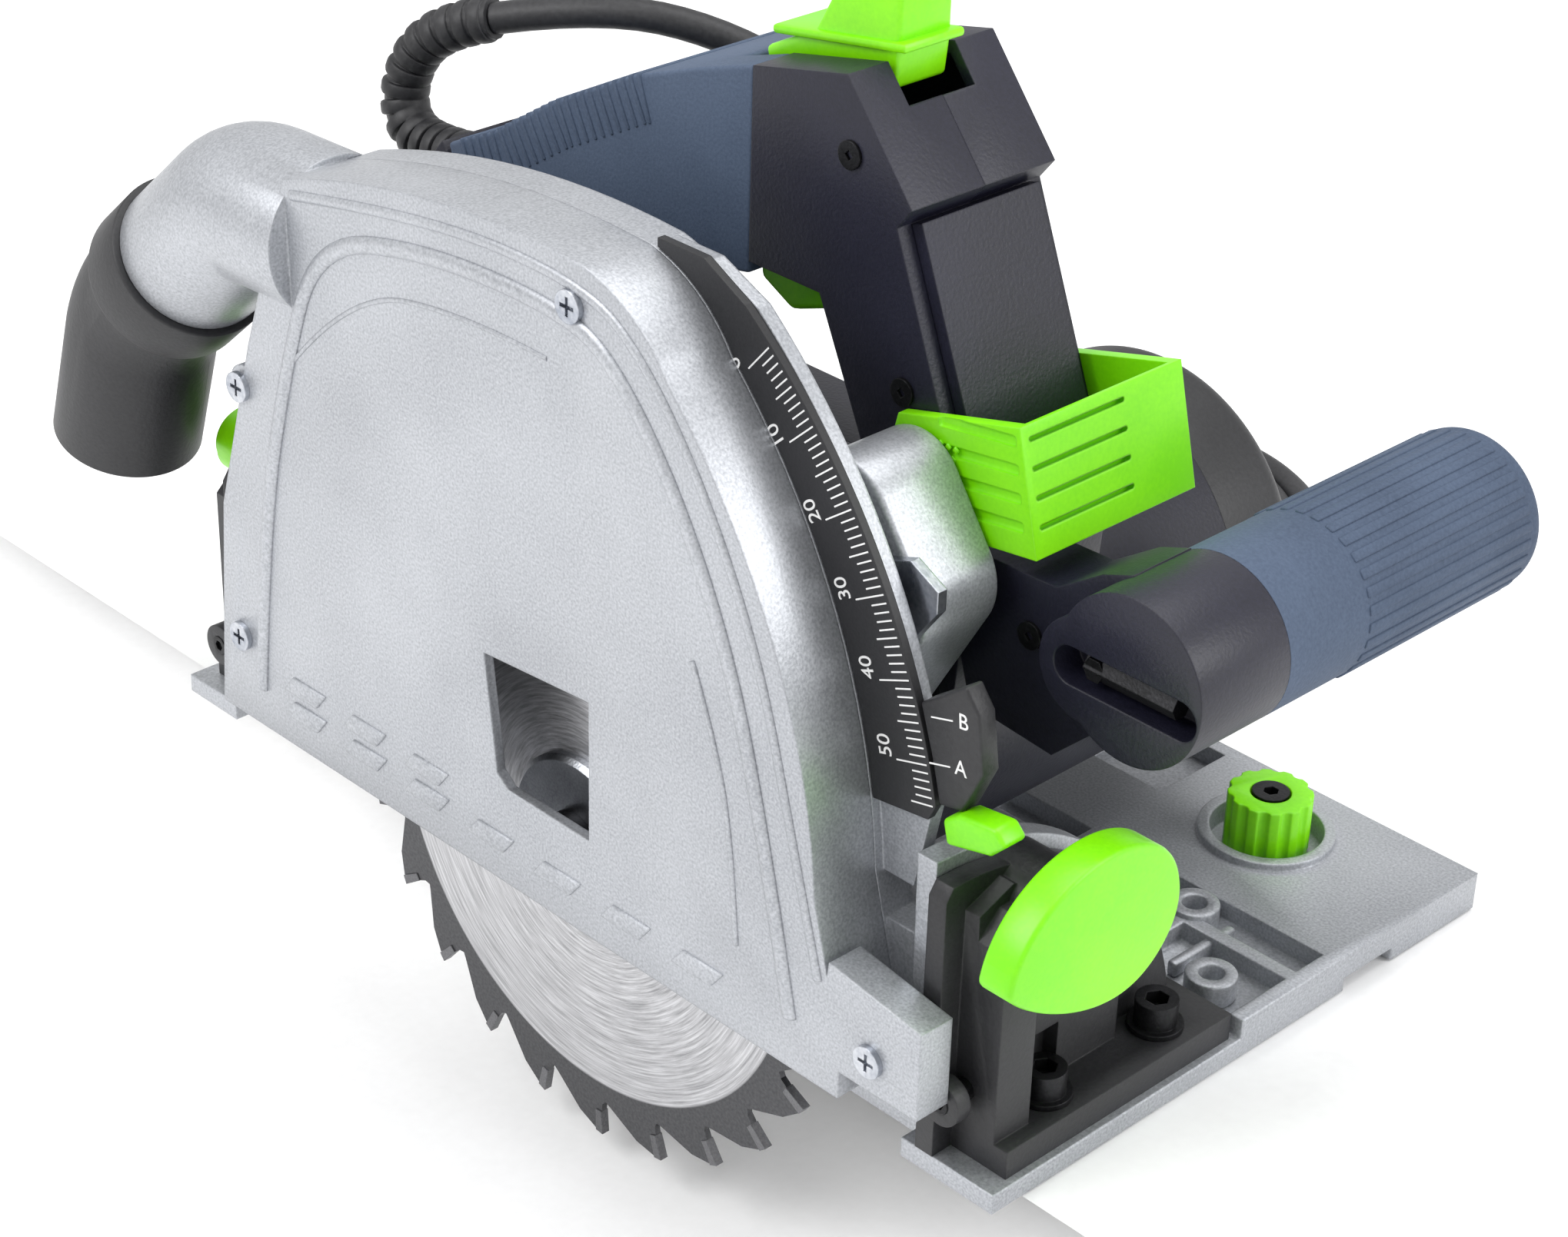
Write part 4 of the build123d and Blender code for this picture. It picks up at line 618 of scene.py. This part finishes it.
# blade cover: ridges, creases and embossed bars
coverLook = {
    "ridge": [
        (-0.104, 0.028), (-0.099, 0.076), (-0.087, 0.122), (-0.073, 0.158), (-0.034, 0.1685), (0.014, 0.170),
        (0.030, 0.161), (0.048, 0.139), (0.064, 0.108), (0.076, 0.066), (0.084, 0.030),
    ],
    "lip": [
        (-0.082, 0.166), (-0.034, 0.1765), (0.018, 0.178), (0.036, 0.168),
        (0.055, 0.145), (0.072, 0.113), (0.083, 0.075), (0.092, 0.044),
    ],
    "crease": [(0.052, 0.104), (0.060, 0.086), (0.065, 0.064), (0.067, 0.040)],
    "panel": [(-0.088, 0.120), (-0.062, 0.150), (-0.020, 0.158), (0.006, 0.157)],
    # each line's piece name, its radius, and how far it is flattened on the face
    "beads": {
        "ridge": ("cover_ridge", 0.0021, 0.55), "lip": ("cover_lip", 0.0013, 0.6),
        "crease": ("cover_crease", 0.0008, 0.7), "panel": ("cover_panel_line", 0.0006, 0.6),
    },
    "bars": 7, "secondRow": 3, "rowStep": 0.007,
    "barSize": (0.013, 0.0010, 0.0050), "barLean": 0.004,
    "barsFrom": -0.086, "barStep": 0.0235, "barLevel": 0.0275,
}
for line, (name, radius, flat) in coverLook["beads"].items():
    bead(name, [(x, coverFace, z) for x, z in coverLook[line]], radius, flat, "guard", "cast_silver")
bar = roundBar(coverLook["barSize"], 0.0004)
for vertex in bar.data.vertices:
    vertex.co.x += coverLook["barLean"] * vertex.co.z / coverLook["barSize"][2]
barPlaces = [
    Matrix.Translation((coverLook["barsFrom"] + coverLook["barStep"] * count, coverFace,
                        coverLook["barLevel"] + coverLook["rowStep"] * row))
    for count in range(coverLook["bars"]) for row in (0, 1)
    if row == 0 or count < coverLook["secondRow"]
]
settle(spread(bar, barPlaces), "cover_bars", "cast_silver", "guard")
print("cover dressed")

# rear grip: fine ribs over its back
gripLook = {
    "back": [(-0.096, 0.160), (-0.079, 0.168), (-0.057, 0.182), (-0.030, 0.196), (-0.008, 0.204)],
    "ribs": 24, "from": 0.006, "step": 0.0031, "size": (0.0011, 0.0449, 0.0115),
}
low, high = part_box("rear_grip_sleeve")
middleY = (low.y + high.y) / 2
ribPlaces = []
for count in range(gripLook["ribs"]):
    way = gripLook["from"] + gripLook["step"] * count
    for start, end in zip(gripLook["back"], gripLook["back"][1:]):
        run = math.dist(start, end)
        if way <= run:
            break
        way -= run
    share = way / run
    slope = math.degrees(math.atan2(end[1] - start[1], end[0] - start[0]))
    sink = gripLook["size"][2] / 2 - 0.0003
    across = math.radians(slope + 90)
    spot = (
        start[0] + share * (end[0] - start[0]) - sink * math.cos(across), middleY,
        start[1] + share * (end[1] - start[1]) - sink * math.sin(across),
    )
    ribPlaces.append(sideTurn(slope, spot))
rib = roundBar(gripLook["size"], 0.00045)
settle(spread(rib, ribPlaces), "rear_grip_ribs", "soft_grip", "motor_unit")

# front grip: long ribs behind a plain collar
low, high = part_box("front_grip_sleeve")
gripCentre = (low + high) / 2
gripRadius = (high.x - low.x) / 2
frontLook = {"ribs": 30, "collar": 0.026, "end": 0.0055, "size": (0.0011, 0.0024), "proud": 0.0004}
ribLength = high.y - low.y - frontLook["collar"] - frontLook["end"]
longRib = roundBar((frontLook["size"][0] * 2, ribLength, frontLook["size"][1]), 0.0005)
ribPlaces = [
    Matrix.Translation((gripCentre.x, low.y + frontLook["collar"] + ribLength / 2, gripCentre.z))
    @ Matrix.Rotation(2 * math.pi * count / frontLook["ribs"], 4, "Y")
    @ Matrix.Translation((gripRadius - frontLook["size"][0] + frontLook["proud"], 0, 0))
    for count in range(frontLook["ribs"])
]
settle(spread(longRib, ribPlaces), "front_grip_ribs", "soft_grip", "motor_unit")
print("grips ribbed")

# plunge button: finger ridges across its top
low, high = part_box("plunge_button")
ridge = roundBar((0.020, 0.0017, 0.0030), 0.0007)
ridgePlaces = [
    sideTurn(12, (high.x - 0.0105, low.y + 0.0017 + 0.00315 * count, high.z - 0.0018))
    for count in range(5)
]
settle(spread(ridge, ridgePlaces), "button_ridges", "lime_plastic", "plunge_button")

# change lever: moulded slots cut into its face, and dimples
low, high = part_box("change_lever")
leverLook = {
    "slots": 4, "slot": (0.022, 0.0016, 0.0026), "gap": 0.0062, "lean": 0.25,
    "dimples": (6, 6), "pitch": 0.0022,
}
cutters = []
for count in range(leverLook["slots"]):
    level = low.z + 0.0075 + leverLook["gap"] * count
    cut = roundBar(leverLook["slot"], 0.0007)
    cut.matrix_world = sideTurn(8, (high.x - 0.0150 - 0.0012 * count, low.y, level))
    cutters.append(cut)
    cut = roundBar((0.0016, 0.030, 0.0026), 0.0007)
    back = 0.0012 + (level - low.z - 0.003) * leverLook["lean"]
    cut.matrix_world = (
        Matrix.Translation((high.x - back, low.y + 0.017, level + 0.0012))
        @ Matrix.Rotation(math.atan(leverLook["lean"]), 4, "Y")
    )
    cutters.append(cut)
cutter = joined(cutters)
useModifier(soft["change_lever"], "BOOLEAN", operation="DIFFERENCE", object=cutter, solver="EXACT")
bpy.data.objects.remove(cutter)
dimple = roundBar((0.0014, 0.0007, 0.0014), 0.0003)
dimplePlaces = [
    sideTurn(60, (low.x + 0.0055 + leverLook["pitch"] * row + 0.0007 * column, low.y,
                  low.z + 0.0075 + 0.0024 * column))
    for row in range(leverLook["dimples"][0]) for column in range(leverLook["dimples"][1])
]
settle(spread(dimple, dimplePlaces), "lever_dimples", "lime_plastic", "change_lever")
print("controls detailed")

# cable boot: collars along a bent core
bootLook = {
    "route": [
        (-0.100, 0.062, 0.147), (-0.128, 0.062, 0.142), (-0.143, 0.063, 0.147),
        (-0.142, 0.065, 0.162), (-0.132, 0.069, 0.173), (-0.119, 0.074, 0.177),
    ],
    "core": 0.0052, "collar": 0.0068, "tip": 0.0058, "pitch": 0.0047,
}
bootCore = smoothTube("boot_core", [Vector(point) for point in bootLook["route"]], bootLook["core"], 16)
bootLength, bootLine = splineLength(bootCore)
bpy.ops.object.select_all(action="DESELECT")
bootCore.select_set(True)
bpy.context.view_layer.objects.active = bootCore
bpy.ops.object.convert(target="MESH")
bootCore = bpy.context.object
bpy.ops.object.select_all(action="DESELECT")
bpy.ops.mesh.primitive_cylinder_add(vertices=28, radius=bootLook["collar"], depth=bootLook["pitch"] * 0.8)
collar = bpy.context.object
pick(collar, lambda face: abs(face.normal.z) > 0.9)
bpy.ops.mesh.bevel(offset=0.0009, segments=2, affect="EDGES")
leaveEdit()
collars = []
travelled, nextAt = 0.0, 0.012
for before, after in zip(bootLine, bootLine[1:]):
    step = (after - before).length
    while travelled + step >= nextAt and nextAt < bootLength - 0.002:
        spot = before.lerp(after, (nextAt - travelled) / step)
        share = nextAt / bootLength
        size = 1 + (bootLook["tip"] / bootLook["collar"] - 1) * share
        turned = (after - before).to_track_quat("Z", "Y").to_matrix().to_4x4()
        place = Matrix.Translation(spot) @ turned @ Matrix.Diagonal((size, size, 1, 1))
        collars.append(copied(collar, place))
        nextAt += bootLook["pitch"]
    travelled += step
bpy.data.objects.remove(collar)
boot = settle(joined([bootCore] + collars), "lead_boot", "cord_rubber", "motor_unit")
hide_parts("cable_boot")
print("boot built with", len(collars), "collars")


# base plate: screw bosses and stiffening ribs in its open bays
baseLook = {
    "bosses": [(0.118, 0.086), (0.097, 0.105), (0.070, 0.090), (-0.138, 0.088), (-0.100, 0.104)],
    "boss": (0.0062, 0.0062), "bore": 0.0030, "boreDepth": 0.0045, "floor": 0.005,
    "ribs": [                        # centre, length, turn in degrees
        ((0.0835, 0.0925), 0.030, 0), ((0.1075, 0.0955), 0.022, 90), ((0.0835, 0.0780), 0.040, 90),
        ((-0.1190, 0.0960), 0.024, 90), ((-0.0600, 0.0900), 0.030, 0),
    ],
    "rib": (0.0026, 0.0040),
}
bpy.ops.object.select_all(action="DESELECT")
bpy.ops.mesh.primitive_cylinder_add(vertices=32, radius=baseLook["boss"][0], depth=baseLook["boss"][1])
boss = bpy.context.object
pick(boss, lambda face: face.normal.z > 0.9)
bpy.ops.mesh.inset(thickness=baseLook["boss"][0] - baseLook["bore"])
bpy.ops.mesh.extrude_region_move(TRANSFORM_OT_translate={"value": (0, 0, -baseLook["boreDepth"])})
leaveEdit()
useModifier(
    boss, "BEVEL", width=0.0005, segments=2,
    limit_method="ANGLE", angle_limit=math.radians(40),
)
bossLevel = baseLook["floor"] + baseLook["boss"][1] / 2
bossPlaces = [Matrix.Translation((x, y, bossLevel)) for x, y in baseLook["bosses"]]
baseParts = [spread(boss, bossPlaces)]
for (x, y), length, turn in baseLook["ribs"]:
    rib = roundBar((length, baseLook["rib"][0], baseLook["rib"][1]), 0.0007)
    ribLevel = baseLook["floor"] + baseLook["rib"][1] / 2
    rib.matrix_world = Matrix.Translation((x, y, ribLevel)) @ Matrix.Rotation(math.radians(turn), 4, "Z")
    baseParts.append(rib)
settle(joined(baseParts), "base_ribs", "cast_silver", "base")

# thumb flange under the button, over the opening in the head
low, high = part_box("plunge_button")
flange = roundBar((0.040, 0.0185, 0.0022), 0.0009)
flange.matrix_world = sideTurn(9, ((low.x + high.x) / 2 + 0.003, (low.y + high.y) / 2, low.z + 0.0112))
settle(flange, "button_flange", "lime_plastic", "plunge_button")
print("base and button detailed")

# update the scene, then the end
bpy.context.view_layer.update()
print("pieces in place")
